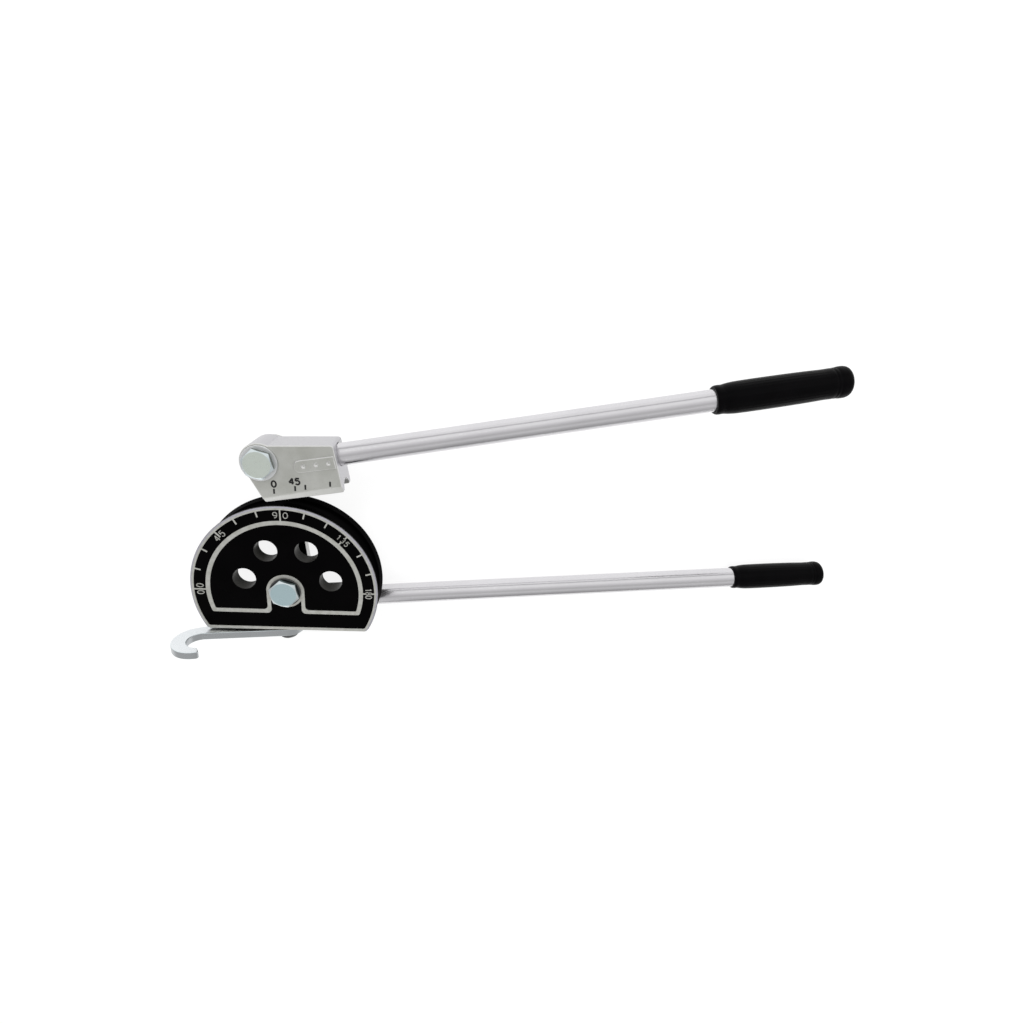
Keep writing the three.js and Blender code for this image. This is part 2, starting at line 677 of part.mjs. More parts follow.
// Tube hook: an eye, a tapered arm that passes beside the tube, and a claw round it
function hookOutline() {
  const inner = degrees(Math.asin((hookEyeRadius + clawRadius) / hookReach));
  const outerX = hookReach + clawOuterShift;
  const span = Math.hypot(outerX, clawOuterLift);
  const rise = degrees(Math.atan2(clawOuterLift, outerX));
  const outer = rise + degrees(Math.asin((clawOuterRadius - hookEyeRadius) / span));
  const sharp = (points) => points.map(([x, y]) => [x, y, 0]);
  const rounded = ([x, y]) => [x, y, clawTipCorner];
  const innerArc = arc(hookReach, 0, clawRadius, 90 + inner, clawTipInnerAngle);
  const outerArc = arc(outerX, clawOuterLift, clawOuterRadius, clawTipOuterAngle, 90 + outer);
  return roundedOutline([
    ...sharp(innerArc.slice(0, -1)),
    rounded(innerArc.at(-1)),
    rounded(outerArc[0]),
    ...sharp(outerArc.slice(1)),
    ...sharp(arc(0, 0, hookEyeRadius, 90 + outer, 270 + inner)),
  ]);
}

const hookPlate = cut(
  solidOf(plate(hookOutline(), hookTop, hookTop + hookThickness, hookEdge)),
  solidOf(rod(hookScrewRadius + hookSleeveWall + 2 * shaftGap, 0, hookTop + hookThickness + cutOverrun)),
);
place('tube_hook', hookPlate, zincPlate, hookPlateGroup);

const sleeve = ring(hookScrewRadius + shaftGap, hookScrewRadius + shaftGap + hookSleeveWall,
  hookTop, hookTop + hookThickness, 0, smallSegments);
place('hook_sleeve', solidOf(sleeve), bronze, hookPlateGroup);

// The hook's screw stands in the wheel with its head below the hook
const screwLength = hookHeadTop - wheelFlatDrop + hookScrewDepth;
const screwShank = [[hookScrewRadius - washerEdge, 0], [hookScrewRadius, washerEdge]];
const hookScrew = hexBolt(screwShank, screwLength, hookScrewAcrossFlats, hookScrewHeadHeight, 0);
place('hook_screw', hookScrew, zincPlate, hookGroup).position.z = wheelFlatDrop - hookScrewDepth;

const flatWasherTop = wheelFlatDrop + seatGap;
const flatWasher = ring(hookScrewRadius + shaftGap, hookWasherRadius, flatWasherTop,
  flatWasherTop + hookWasherThickness, washerEdge, smallSegments);
place('hook_washer', solidOf(flatWasher), zincPlate, hookGroup);

// Dished washer, its rim against the hook and its crown against the screw's head
const dishInner = hookScrewRadius + shaftGap;
const dish = turned([
  [dishInner, springWasherTop + springWasherRise],
  [hookWasherRadius, springWasherTop],
  [hookWasherRadius, springWasherTop + springWasherThickness],
  [dishInner, springWasherTop + springWasherRise + springWasherThickness],
  [dishInner, springWasherTop + springWasherRise],
], smallSegments);
place('hook_spring_washer', solidOf(dish), springSteel, hookGroup);

export default bender;
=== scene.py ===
import json
from math import acos, asin, atan2, ceil, cos, degrees, hypot, pi, radians, sin, sqrt, tan

import bmesh
import bpy
from mathutils import Matrix, Vector


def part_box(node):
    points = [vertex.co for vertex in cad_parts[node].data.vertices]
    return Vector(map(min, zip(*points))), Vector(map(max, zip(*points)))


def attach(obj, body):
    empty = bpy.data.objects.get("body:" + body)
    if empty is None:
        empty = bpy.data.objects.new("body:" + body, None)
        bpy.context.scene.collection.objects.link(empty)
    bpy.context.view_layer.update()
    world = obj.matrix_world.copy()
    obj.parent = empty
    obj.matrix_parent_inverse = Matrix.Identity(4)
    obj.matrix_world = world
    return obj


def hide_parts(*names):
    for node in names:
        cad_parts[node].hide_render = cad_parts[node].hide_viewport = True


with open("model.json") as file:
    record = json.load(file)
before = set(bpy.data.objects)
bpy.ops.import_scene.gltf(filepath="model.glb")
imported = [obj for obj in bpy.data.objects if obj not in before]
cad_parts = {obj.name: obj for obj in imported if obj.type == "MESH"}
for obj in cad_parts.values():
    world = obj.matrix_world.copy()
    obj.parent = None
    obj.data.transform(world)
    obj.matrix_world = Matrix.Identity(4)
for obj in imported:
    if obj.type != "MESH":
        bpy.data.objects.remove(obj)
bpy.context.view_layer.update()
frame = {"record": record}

# Lever tube bender. Sizes below are in millimetres and become metres when a piece is finished.
MM = 0.001

# Form wheel and the tube that it bends
BENT_TUBE_DIAMETER = 22.2
BEND_RADIUS = 82.55
GROOVE_CLEARANCE = 0.2
RIM_LIP = 1.95
RIM_EDGE = 1.8
RIM_SWELL = 0.5
WHEEL_FLAT_DROP = 41.3
WHEEL_CORNER = 4
WEB_THICKNESS = 15
RIM_WALL = 7
HUB_RADIUS = 18.5
POCKET_DROP = 14.5
POCKET_CORNER = 6
RIB_THICKNESS = 6
RIB_START = 1
RIB_SET_BACK = 4
RIB_ANGLES = (88, 40)
HOLE_RADIUS = 10.4
HOLE_ANGLES = (161.9, 110.7, 63.2, 15.9)
HOLE_REACH_SHARES = (0.452, 0.514, 0.543, 0.511)
WHEEL_SOFT_EDGE = 0.2

# Raised dial
DIAL_RELIEF = 0.8
TOOL_STEP = 0.5
RIM_LINE_WIDTH = 3
FLAT_LINE_WIDTH = 3
RING_RADIUS = 71.1
RING_LINE_WIDTH = 4
RING_FOOT_DROP = 23.3
RING_FOOT_WIDTH = 3.9
RING_CORNER = 2.5
ARCH_RADIUS = 17.2
ARCH_LINE_WIDTH = 3.4
ARCH_FLARE = 4
PIVOT_PAD_RADIUS = 16.6
PIVOT_PAD_SHOULDER = 10
TICK_WIDTH = 1.4
TICK_LENGTH = 5.3
MIDDLE_TICK_LENGTH = 6.5
TICK_STUB = 2.2
TICK_STEP = 15
LONG_TICKS = (0, 90)
MIDDLE_TICKS = (45,)
BROKEN_TICKS = (135, 180)

# Dial numbers: reading, digits, spacing, height and width of a digit
DIAL_NUMBERS = (
    (0, "00", 7.2, 6, 3.3),
    (45, "45", 6.8, 5.6, 3.6),
    (90, "90", 9, 5.4, 3.9),
    (135, "135", 4.7, 5, 3),
    (180, "180", 3.8, 5.8, 2.8),
)
DIAL_STROKE = 0.95
DIAL_STROKE_HEIGHT_SHARE = 1.4

# Shoulder bolts, nuts and washers
BOLT_RADIUS = 8
STUD_RADIUS = 6
STUD_TIP = 4
STUD_CHAMFER = 1
HEAD_ACROSS_FLATS = 24.5
HEAD_HEIGHT = 4.5
NUT_ACROSS_FLATS = 19
NUT_HEIGHT = 10.8
HEX_CHAMFER_SHARE = 0.94
HEX_CHAMFER_HEIGHT_SHARE = 0.36
HEX_SHARP_ANGLE = 28
HEX_EDGE = 0.35
WASHER_FACE_SHARE = 0.93
WASHER_FACE_HEIGHT = 0.5
SHOE_HEAD_WASHER = (15.6, 2)
WHEEL_HEAD_WASHER = (14.2, 1.4)
THRUST_WASHER_RADIUS = 15
THRUST_WASHER_THICKNESS = 1.5
NUT_WASHER_RADIUS = 13
NUT_WASHER_THICKNESS = 2
WASHER_EDGE = 0.3
WHEEL_BOLT_TURN = 43
SHOE_BOLT_TURN = 45
THREAD_PITCH = 1.75
THREAD_DEPTH = 0.9
THREAD_ROWS = 8
SEAT_GAP = 0.3
SHAFT_GAP = 0.3
OVERRUN = 2

# Link
LINK_THICKNESS = 10
LINK_EYE_RADIUS = 16.5
LINK_HALF_WIDTH = 14
LINK_FILLET = 20
LINK_EDGE = 0.8
BUSH_WALL = 2.7

# Bending shoe, measured from its pivot along and up from its sole
SHOE_FRONT_REACH = 64.5
SHOE_HEEL_REACH = 4.5
SHOE_SOLE_DROP = 36.3
SHOE_HUB_RADIUS = 17.2
SHOE_HEEL_TOP = (-13, -9.6)
SHOE_TOP_AT_HUB = 15.2
SHOE_TOP_AT_FRONT = 7
SHOE_TOP_CORNER = 3
SHOE_SOLE_CORNER = 1.6
SHOE_EDGE = 1.3
SHOE_GROOVE_LIFT = 8.65
SOLE_BEVEL_HEIGHT = 6.3
SOLE_BEVEL_DEPTH = 2.4
PAD_START = 27.8
PAD_TOP = 2
PAD_HEIGHT = 11.3
PAD_CORNER = 5.4
PAD_RELIEF = 1.3
PAD_EDGE_SHARE = 0.7
STAKE_COUNT = 3
STAKE_START = 36.2
STAKE_PITCH = 10.8
STAKE_RADIUS = 2
STAKE_DEPTH = 1.2
SHOE_REST_SLOPE = 10.5
SHOE_MARK_LIFT = 9.6
SHOE_MARK_REACHES = (5.8, 24.2, 33.1, 54.7)
SHOE_MARK_LENGTH = 4.6
SHOE_STROKE = 1.6
PAINT_THICKNESS_SHARE = 0.12
SHOE_SOFT_EDGE = 0.3

# Numbers on the shoe: digits, place along and up from its sole, width of a digit and spacing
SHOE_NUMBERS = (("0", 7.2, 16.1, 3.7, 0), ("45", 25.1, 16.1, 4, 5))
SHOE_DIGIT_HEIGHT = 5.5

# Handles
TUBE_RADIUS = 10.15
TUBE_WALL = 2
GRIP_END_WALL = 8
UPPER_GRIP_RADIUS = 14.35
UPPER_HANDLE_DROP = 6.8
UPPER_HANDLE_TILT = 1.18
UPPER_SOCKET_START = 29
UPPER_GRIP_START = 401.5
UPPER_GRIP_LENGTH = 123.6
LOWER_GRIP_RADIUS = 12.9
LOWER_HANDLE_SLOPE = 4.94
LOWER_HANDLE_DIP = 0.5
LOWER_GRIP_START = 451.6
LOWER_GRIP_LENGTH = 99.4
SOCKET_START = 8
SOCKET_RIM_SET_BACK = 14.5
SOCKET_WALL = 3.75
SOCKET_FLOOR = 6
SOCKET_LINK_CLEARANCE = 1.9
SOCKET_EDGE = 1
PIN_RADIUS = 2.5
PIN_SET_BACK = 0.7
PIN_WALL = 1
PIN_SLOT = 25
PIN_REACH_SHARES = (0.3, 0.78)
GRIP_OUTLINE_SHARES = (
    (0, 0.85), (0.01, 0.9), (0.03, 0.92), (0.06, 0.91), (0.1, 0.96), (0.16, 1), (0.4, 1.01), (0.68, 0.985),
    (0.8, 0.955), (0.86, 0.96), (0.872, 0.94), (0.884, 0.97), (0.896, 0.95), (0.91, 0.985), (0.935, 1),
    (0.96, 0.985), (0.982, 0.9), (0.995, 0.72), (1, 0.5),
)
GRIP_ROWS = 150
GRIP_LAST_ROWS = (0.997, 1)
FLUTE_COUNT = 28
FLUTE_FACETS = 7
FLUTE_DEPTH = 0.1
FLUTE_SPAN_SHARES = (0.12, 0.2, 0.76, 0.84)

# Tube hook
HOOK_THICKNESS = 7
HOOK_EYE_RADIUS = 15.5
CLAW_CLEARANCE = 0.4
CLAW_OUTER_RADIUS = 21
CLAW_OUTER_SHIFT = 2.7
CLAW_OUTER_LIFT = 2.5
CLAW_TIP_INNER_ANGLE = -70
CLAW_TIP_OUTER_ANGLE = -90
CLAW_TIP_CORNER = 2
CLAW_TIP_ROOM = 3
HOOK_EDGE = 0.6
HOOK_SCREW_RADIUS = 5
HOOK_SCREW_DEPTH = 20
HOOK_SCREW_ACROSS_FLATS = 16
HOOK_SCREW_HEAD_HEIGHT = 5.4
HOOK_SLEEVE_WALL = 2
HOOK_WASHER_RADIUS = 11
HOOK_WASHER_THICKNESS = 1
SPRING_WASHER_THICKNESS = 0.8
SPRING_WASHER_RISE = 0.5
HOOK_REST_ANGLE = 27.6

# Facets: steps of arcs in degrees, and counts
ARC_STEP = 3
CORNER_STEP = 9
GROOVE_STEP = 5
SMALL_STEP = 10
EDGE_STEPS = 3
SOFT_EDGE_SEGMENTS = 2
WHEEL_SEGMENTS = 240
ROUND_SEGMENTS = 96
SMALL_SEGMENTS = 64
STROKE_STEP = 20
SMOOTH_ANGLE = 36

# Photograph's camera
CAMERA_PLACE = (158.18, 276.47, 554.23)
CAMERA_RIGHT = (0.9949, 0.07401, 0.06854)
CAMERA_UP = (-0.04454, 0.93199, -0.35973)
CAMERA_LENS = 20.347
CAMERA_CLIP_START = 0.01
SENSOR_WIDTH = 36

# What follows from the sizes above and from the frame
record = frame["record"]
bodies = {node: body for body, nodes in record["behaviour"]["bodies"].items() for node in nodes}
joints = {joint["name"]: joint for joint in record["behaviour"]["joints"]}
shoe_pivot = Vector(joints["shoe_pivot"]["pos_m"]) / MM
hook_pivot = Vector(joints["hook_pivot"]["pos_m"]) / MM
rim_radius = BEND_RADIUS + RIM_LIP
groove_radius = BENT_TUBE_DIAMETER / 2 + GROOVE_CLEARANCE
pocket_radius = BEND_RADIUS - groove_radius - RIM_WALL
bolt_hole = BOLT_RADIUS + SHAFT_GAP
bush_radius = bolt_hole + BUSH_WALL
screw_hole = HOOK_SCREW_RADIUS + SHAFT_GAP
tube_bore = TUBE_RADIUS + SHAFT_GAP
nut_washer_floor = STUD_TIP + NUT_HEIGHT + SEAT_GAP
link_floor = nut_washer_floor + NUT_WASHER_THICKNESS + SEAT_GAP
thrust_floor = link_floor + LINK_THICKNESS + SEAT_GAP
wheel_back = thrust_floor + THRUST_WASHER_THICKNESS + SEAT_GAP
wheel_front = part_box("form_wheel")[1].z / MM
half_thickness = (wheel_front - wheel_back) / 2
link_length = shoe_pivot.to_2d().length
link_turn = atan2(shoe_pivot.y, shoe_pivot.x)
socket_radius = tube_bore + SOCKET_WALL
socket_length = rim_radius - SOCKET_RIM_SET_BACK - SOCKET_START
lower_grip_end = LOWER_GRIP_START + LOWER_GRIP_LENGTH
lower_handle_height = LOWER_GRIP_RADIUS + lower_grip_end * sin(radians(LOWER_HANDLE_DIP))
lower_handle_drop = LINK_EYE_RADIUS + SOCKET_LINK_CLEARANCE + socket_radius
hook_reach = BEND_RADIUS + hook_pivot.x - CLAW_CLEARANCE
hook_washer_floor = WHEEL_FLAT_DROP + SEAT_GAP
hook_washer_top = hook_washer_floor + HOOK_WASHER_THICKNESS
hook_top = hook_washer_top + SEAT_GAP
spring_washer_top = hook_top + HOOK_THICKNESS + SEAT_GAP
hook_head_top = spring_washer_top + SPRING_WASHER_THICKNESS + SPRING_WASHER_RISE + SEAT_GAP


def placed_object(name, data):
    made = bpy.data.objects.new(name, data)
    bpy.context.collection.objects.link(made)
    return made


# Camera
def make_camera():
    right, up = Vector(CAMERA_RIGHT), Vector(CAMERA_UP)
    back = right.cross(up)
    turn = Matrix((right, up, back)).transposed().to_4x4()
    data = bpy.data.cameras.new("camera")
    data.lens = CAMERA_LENS
    data.sensor_width = SENSOR_WIDTH
    data.clip_start = CAMERA_CLIP_START
    camera = placed_object("camera", data)
    camera.matrix_world = Matrix.Translation(Vector(CAMERA_PLACE) * MM) @ turn
    bpy.context.scene.camera = camera


make_camera()


# Outlines, as lists of points in millimetres
def arc(cx, cy, radius, start, end, step=ARC_STEP):
    count = max(1, ceil(abs(end - start) / step - 1e-6))
    angles = [radians(start + (end - start) * i / count) for i in range(count + 1)]
    return [(cx + radius * cos(a), cy + radius * sin(a)) for a in angles]


def circle(radius):
    return arc(0, 0, radius, 0, 360)[1:]


def rectangle(left, right, foot, top):
    return [(left, foot), (right, foot), (right, top), (left, top)]


def rounded(corners):
    """An outline with round corners, each given by its place and radius."""
    points = []
    for i, (x, y, radius) in enumerate(corners):
        if radius == 0:
            points.append((x, y))
            continue
        here = Vector((x, y))
        back = (Vector(corners[i - 1][:2]) - here).normalized()
        ahead = (Vector(corners[(i + 1) % len(corners)][:2]) - here).normalized()
        half = acos(back.dot(ahead)) / 2
        centre = here + (back + ahead).normalized() * (radius / sin(half))
        start = here + back * (radius / tan(half)) - centre
        end = here + ahead * (radius / tan(half)) - centre
        first = degrees(atan2(start.y, start.x))
        turn = (degrees(atan2(end.y, end.x)) - first + 180) % 360 - 180
        points += arc(centre.x, centre.y, radius, first, first + turn, CORNER_STEP)
    return points


def d_outline(radius, drop, corner, overrun=0):
    """A circle cut off below by a flat, with round corners."""
    cy = corner - drop
    cx = sqrt((radius - corner) ** 2 - cy ** 2)
    tip = degrees(atan2(cy, cx))
    top = arc(0, 0, radius + overrun, tip, 180 - tip, 360 / WHEEL_SEGMENTS)
    if overrun == 0:
        top = top[1:-1]
    left = arc(-cx, cy, corner, 180 - tip, 270, CORNER_STEP)
    return left + arc(cx, cy, corner, -90, tip, CORNER_STEP) + top


def arch_outline(radius, foot_drop, flare, overrun):
    knee = flare - foot_drop
    return [
        *arc(0, 0, radius, 0, 180),
        *arc(-radius - flare, knee, flare, 0, -90),
        (-radius - flare, -foot_drop - overrun),
        (radius + flare, -foot_drop - overrun),
        *arc(radius + flare, knee, flare, 270, 180),
    ]


def eye_bar_outline(length, eye_radius, half_width, fillet):
    waist = sqrt((eye_radius + fillet) ** 2 - (half_width + fillet) ** 2)
    lean = degrees(atan2(half_width + fillet, waist))
    return [
        *arc(0, 0, eye_radius, lean, 360 - lean),
        *arc(waist, -half_width - fillet, fillet, 180 - lean, 90)[1:],
        *arc(length, 0, half_width, -90, 90),
        *arc(waist, half_width + fillet, fillet, -90, lean - 180)[:-1],
    ]


def hook_outline():
    claw_radius = BENT_TUBE_DIAMETER / 2 + CLAW_CLEARANCE
    inner = degrees(asin((HOOK_EYE_RADIUS + claw_radius) / hook_reach))
    outer_x = hook_reach + CLAW_OUTER_SHIFT
    rise = degrees(atan2(CLAW_OUTER_LIFT, outer_x))
    span = hypot(outer_x, CLAW_OUTER_LIFT)
    outer = rise + degrees(asin((CLAW_OUTER_RADIUS - HOOK_EYE_RADIUS) / span))
    inside = arc(hook_reach, 0, claw_radius, 90 + inner, CLAW_TIP_INNER_ANGLE)
    outside = arc(outer_x, CLAW_OUTER_LIFT, CLAW_OUTER_RADIUS, CLAW_TIP_OUTER_ANGLE, 90 + outer)
    eye = arc(0, 0, HOOK_EYE_RADIUS, 90 + outer, 270 + inner)
    tip = [(*inside[-1], CLAW_TIP_CORNER), (*outside[0], CLAW_TIP_CORNER)]
    inside, outside = inside[:-CLAW_TIP_ROOM], outside[CLAW_TIP_ROOM:]
    return rounded([(*p, 0) for p in inside] + tip + [(*p, 0) for p in outside + eye])


# Solids, as Blender objects in millimetres
def solid(bm):
    bmesh.ops.recalc_face_normals(bm, faces=bm.faces)
    mesh = bpy.data.meshes.new("solid")
    bm.to_mesh(mesh)
    bm.free()
    return placed_object("solid", mesh)


def inset(outline, distance):
    """The outline moved inwards, each corner along its mitre."""
    area = sum(a[0] * b[1] - b[0] * a[1] for a, b in zip(outline, outline[1:] + outline[:1]))
    side = 1 if area > 0 else -1
    points = []
    for i, point in enumerate(outline):
        here = Vector(point)
        back = (here - Vector(outline[i - 1])).normalized()
        ahead = (Vector(outline[(i + 1) % len(outline)]) - here).normalized()
        first, second = Vector((-back.y, back.x)) * side, Vector((-ahead.y, ahead.x)) * side
        points.append(here + (first + second) * (distance / (1 + first.dot(second))))
    return points


def plate(outline, low, high, edge=0):
    """A flat plate from one height to another, with its edges rounded."""
    levels = [(0, low), (0, high)]
    if edge:
        turns = [pi / 2 * i / EDGE_STEPS for i in range(EDGE_STEPS + 1)]
        foot = [(edge * (1 - sin(t)), edge * (1 - cos(t))) for t in turns]
        levels = [(d, low + z) for d, z in foot] + [(d, high - z) for d, z in reversed(foot)]
    bm = bmesh.new()
    rings = []
    for distance, height in levels:
        points = inset(outline, distance) if distance else outline
        rings.append([bm.verts.new((x, y, height)) for x, y in points])
    for lower, upper in zip(rings, rings[1:]):
        for i in range(len(lower)):
            bm.faces.new((lower[i - 1], lower[i], upper[i], upper[i - 1]))
    bm.faces.new(rings[0])
    bm.faces.new(rings[-1])
    return solid(bm)


def turned(profile, segments=ROUND_SEGMENTS, waver=None):
    """A body turned about Z. The profile starts and ends on the axis, or closes on itself."""
    bm = bmesh.new()
    closed = profile[0] == profile[-1] and profile[0][0] > 0
    rows = []
    for radius, height in profile[:-1] if closed else profile:
        if radius == 0:
            rows.append([bm.verts.new((0, 0, height))])
            continue
        row = []
        for i in range(segments):
            angle = 2 * pi * i / segments
            reach = waver(angle, radius, height) if waver else radius
            row.append(bm.verts.new((reach * cos(angle), reach * sin(angle), height)))
        rows.append(row)
    pairs = list(zip(rows, rows[1:])) + ([(rows[-1], rows[0])] if closed else [])
    for lower, upper in pairs:
        for i in range(segments):
            j = (i + 1) % segments
            if len(lower) == 1:
                bm.faces.new((lower[0], upper[j], upper[i]))
            elif len(upper) == 1:
                bm.faces.new((lower[i], lower[j], upper[0]))
            else:
                bm.faces.new((lower[i], lower[j], upper[j], upper[i]))
    return solid(bm)


def rod(radius, low, high, segments=ROUND_SEGMENTS):
    return turned([(0, low), (radius, low), (radius, high), (0, high)], segments)


def bore(radius, low, high, segments=ROUND_SEGMENTS):
    """A rod to cut with, past both ends of what it cuts."""
    return rod(radius, low - OVERRUN, high + OVERRUN, segments)


def ring(inner, outer, low, high, edge=0):
    side = [(outer, low), (outer, high)]
    if edge:
        side = arc(outer - edge, low + edge, edge, -90, 0, 90 / EDGE_STEPS)
        side += arc(outer - edge, high - edge, edge, 0, 90, 90 / EDGE_STEPS)
    return turned([(inner, low), *side, (inner, high), (inner, low)])


def moved(body, matrix):
    body.data.transform(matrix)
    if matrix.determinant() < 0:
        body.data.flip_normals()
    return body


def finished_mesh(body):
    graph = bpy.context.evaluated_depsgraph_get()
    return bpy.data.meshes.new_from_object(body.evaluated_get(graph))


def bake_modifiers(body):
    mesh = finished_mesh(body)
    body.modifiers.clear()
    body.data = mesh


def combine(operation, body, tools):
    for tool in tools:
        modifier = body.modifiers.new("combine", "BOOLEAN")
        modifier.operation = operation
        modifier.solver = "MANIFOLD"
        modifier.object = tool
    bake_modifiers(body)
    for tool in tools:
        bpy.data.objects.remove(tool)
    return body


def cut(body, *tools):
    return combine("DIFFERENCE", body, tools)


def join(body, *tools):
    return combine("UNION", body, tools)


def meet(body, *tools):
    return combine("INTERSECT", body, tools)


def hex_body(across_flats, low, high, turn, both_ends):
    corner = across_flats / sqrt(3)
    hexagon = arc(0, 0, corner, turn, turn + 300, 60)
    face = across_flats / 2 * HEX_CHAMFER_SHARE
    wide = corner + OVERRUN
    fall = (high - low) * HEX_CHAMFER_HEIGHT_SHARE * (wide - face) / (corner - face)
    foot = [(0, low), (face, low), (wide, low + fall)] if both_ends else [(0, low), (wide, low)]
    envelope = turned([*foot, (wide, high - fall), (face, high), (0, high)])
    return meet(plate(hexagon, low, high, HEX_EDGE), envelope)


def threaded(low, high, radius, chamfer):
    """Profile rows of a thread between two heights, and its waver, which turned() takes."""
    count = ceil((high - low) / THREAD_PITCH * THREAD_ROWS)
    rows = [(radius, low + chamfer + (high - low - chamfer) * i / count) for i in range(count + 1)]

    def waver(angle, reach, height):
        if reach != radius or height > high:
            return reach
        phase = (height / THREAD_PITCH - angle / (2 * pi)) % 1
        fade = min(1, (high - height) / THREAD_PITCH)
        return reach - THREAD_DEPTH * fade * (1 - abs(2 * phase - 1))

    return rows, waver


def hex_bolt(rows, waver, length, across_flats, head, turn):
    """A bolt standing on its threaded end, with a round face under its head."""
    top = length + head / 2
    body = turned([(0, 0), *rows, (rows[-1][0], top), (0, top)], ROUND_SEGMENTS, waver)
    face = rod(across_flats / 2 * WASHER_FACE_SHARE, length, top)
    return join(body, face, hex_body(across_flats, length + WASHER_FACE_HEIGHT, length + head, turn, False))


# Places
def shift(x, y, z):
    return Matrix.Translation((x, y, z))


def spin(angle, axis="Z"):
    return Matrix.Rotation(radians(angle), 4, axis)


def basis(x_axis, y_axis, z_axis):
    return Matrix((x_axis, y_axis, z_axis)).transposed().to_4x4()


def handle_frame(slope, dip, drop, height):
    return spin(slope) @ shift(0, -drop, height) @ (spin(dip, "Y") @ along_x)


along_x = basis((0, 1, 0), (0, 0, 1), (1, 0, 0))
link_place = Matrix.Rotation(link_turn, 4, "Z")
shoe_bolt_place = shift(shoe_pivot.x, shoe_pivot.y, 0)
shoe_place = shift(*shoe_pivot) @ spin(SHOE_REST_SLOPE)
lower_handle_place = handle_frame(
    LOWER_HANDLE_SLOPE, LOWER_HANDLE_DIP, lower_handle_drop, lower_handle_height)
upper_handle_lie = handle_frame(UPPER_HANDLE_TILT, 0, UPPER_HANDLE_DROP, 0)
upper_handle_place = shoe_place @ upper_handle_lie
hook_place = shift(hook_pivot.x, 0, hook_pivot.z) @ basis((-1, 0, 0), (0, 0, -1), (0, -1, 0))
hook_plate_place = hook_place @ spin(-HOOK_REST_ANGLE)


# Materials. A pair of colours is the dark and the light end of a slow stain, and a pair of roughness values
# is the range of a fine grain. Scales of noise are in features a metre, and fades are in metres.
ENAMEL_COLOURS = ((0.0003, 0.0002, 0.0003), (0.0008, 0.0006, 0.0008))
ENAMEL_ROUGHNESS = (0.2, 0.3)
ENAMEL_SPECULAR = 0.03
# Painted reflection: the bore walls are a lighter grey than the enamel
BORE_REFLECTION_COLOUR = (0.045, 0.044, 0.041)
BORE_REACH = 60
LINE_WANDER = 0.00012
LINE_FADE = 0.00005
BARE_COLOURS = ((0.48, 0.48, 0.44), (0.6, 0.6, 0.57))
BARE_METALLIC = 0.75
BARE_ROUGHNESS = 0.22
# The rim's outer edge is bare worn metal, tinted lavender as a painted highlight
RIM_WEAR_HIGHLIGHT_COLOUR = (0.46, 0.45, 0.52)
WORN_RIM_DEPTH = 0.8
WORN_RIM_WIDTH = 1.1
WORN_FADE = 0.0004
WORN_TOP_FADE = 0.0006
LINK_FACE_COLOURS = ((0.0008, 0.0008, 0.0008), (0.0016, 0.0016, 0.0016))
LINK_SIDE_COLOURS = ((0.5, 0.5, 0.49), (0.62, 0.62, 0.61))
LINK_ROUGHNESS = (0.3, 0.42)
CAST_COLOURS = ((0.47, 0.475, 0.44), (0.555, 0.56, 0.53))
# Painted reflection tint on the casting's sides, and a painted highlight on its edges
CAST_SIDE_REFLECTION_TINT = (0.51, 0.505, 0.525)
CAST_EDGE_HIGHLIGHT = (0.68, 0.68, 0.67)
CAST_ROUGHNESS = (0.26, 0.36)
CAST_METALLIC = 0.7
CAST_SKIN_SCALE = 1500
CAST_SKIN_ROUGH = 0.65
VINYL_COLOURS = ((0.0005, 0.0004, 0.0006), (0.0012, 0.001, 0.0014))
VINYL_SPECULAR = 0.05
PAINT_COLOURS = ((0.001, 0.001, 0.001), (0.003, 0.003, 0.003))
ZINC_ROUGHNESS = (0.26, 0.34)
ZINC_GRAIN = 300
# Painted highlight on the edges of bolts, nuts and the hook
EDGE_HIGHLIGHT_COLOUR = (0.72, 0.79, 0.81)
PLAIN_GRAIN = 900
GRAIN_PER_STAIN = 30
METAL_GRIT = 0.000001
GLOSS_SCALE = 500
PEEL_SCALE = 380
SIDE_FADE = (0.3, 0.8)
EDGE_RISE = (0.25, 0.45)
EDGE_FALL = (0.9, 0.97)
SPECULAR = "Specular IOR Level"


def node_tree(name, uniform):
    """A new material, with the shader's values that are the same all over."""
    material = bpy.data.materials.new(name)
    material.use_nodes = True
    tree = material.node_tree
    shader = tree.nodes["Principled BSDF"]
    for socket, value in uniform.items():
        shader.inputs[socket].default_value = value
    return material, tree, shader


def feed(tree, socket, value):
    """Give a socket its value, or link it to the socket that the value comes from."""
    if isinstance(value, bpy.types.NodeSocket):
        tree.links.new(value, socket)
    else:
        socket.default_value = value


def add(tree, kind, **inputs):
    node = tree.nodes.new(kind)
    for key, value in inputs.items():
        if hasattr(node, key):
            setattr(node, key, value)
        else:
            feed(tree, node.inputs[key], value)
    return node


def noise(tree, scale, detail, stretch=(1, 1, 1), rough=0.5):
    """Noise in the object's own space."""
    place = add(tree, "ShaderNodeTexCoord").outputs["Object"]
    spread = add(tree, "ShaderNodeMapping", Vector=place, Scale=stretch).outputs["Vector"]
    made = add(tree, "ShaderNodeTexNoise", Vector=spread, Scale=scale, Detail=detail, Roughness=rough)
    return made.outputs["Fac"]


def ramp(tree, value, low, high, start=0.3, end=0.7):
    """The value taken from one range to another, between low and high."""
    limits = {"From Min": start, "From Max": end, "To Min": low, "To Max": high}
    return add(tree, "ShaderNodeMapRange", Value=value, **limits).outputs["Result"]


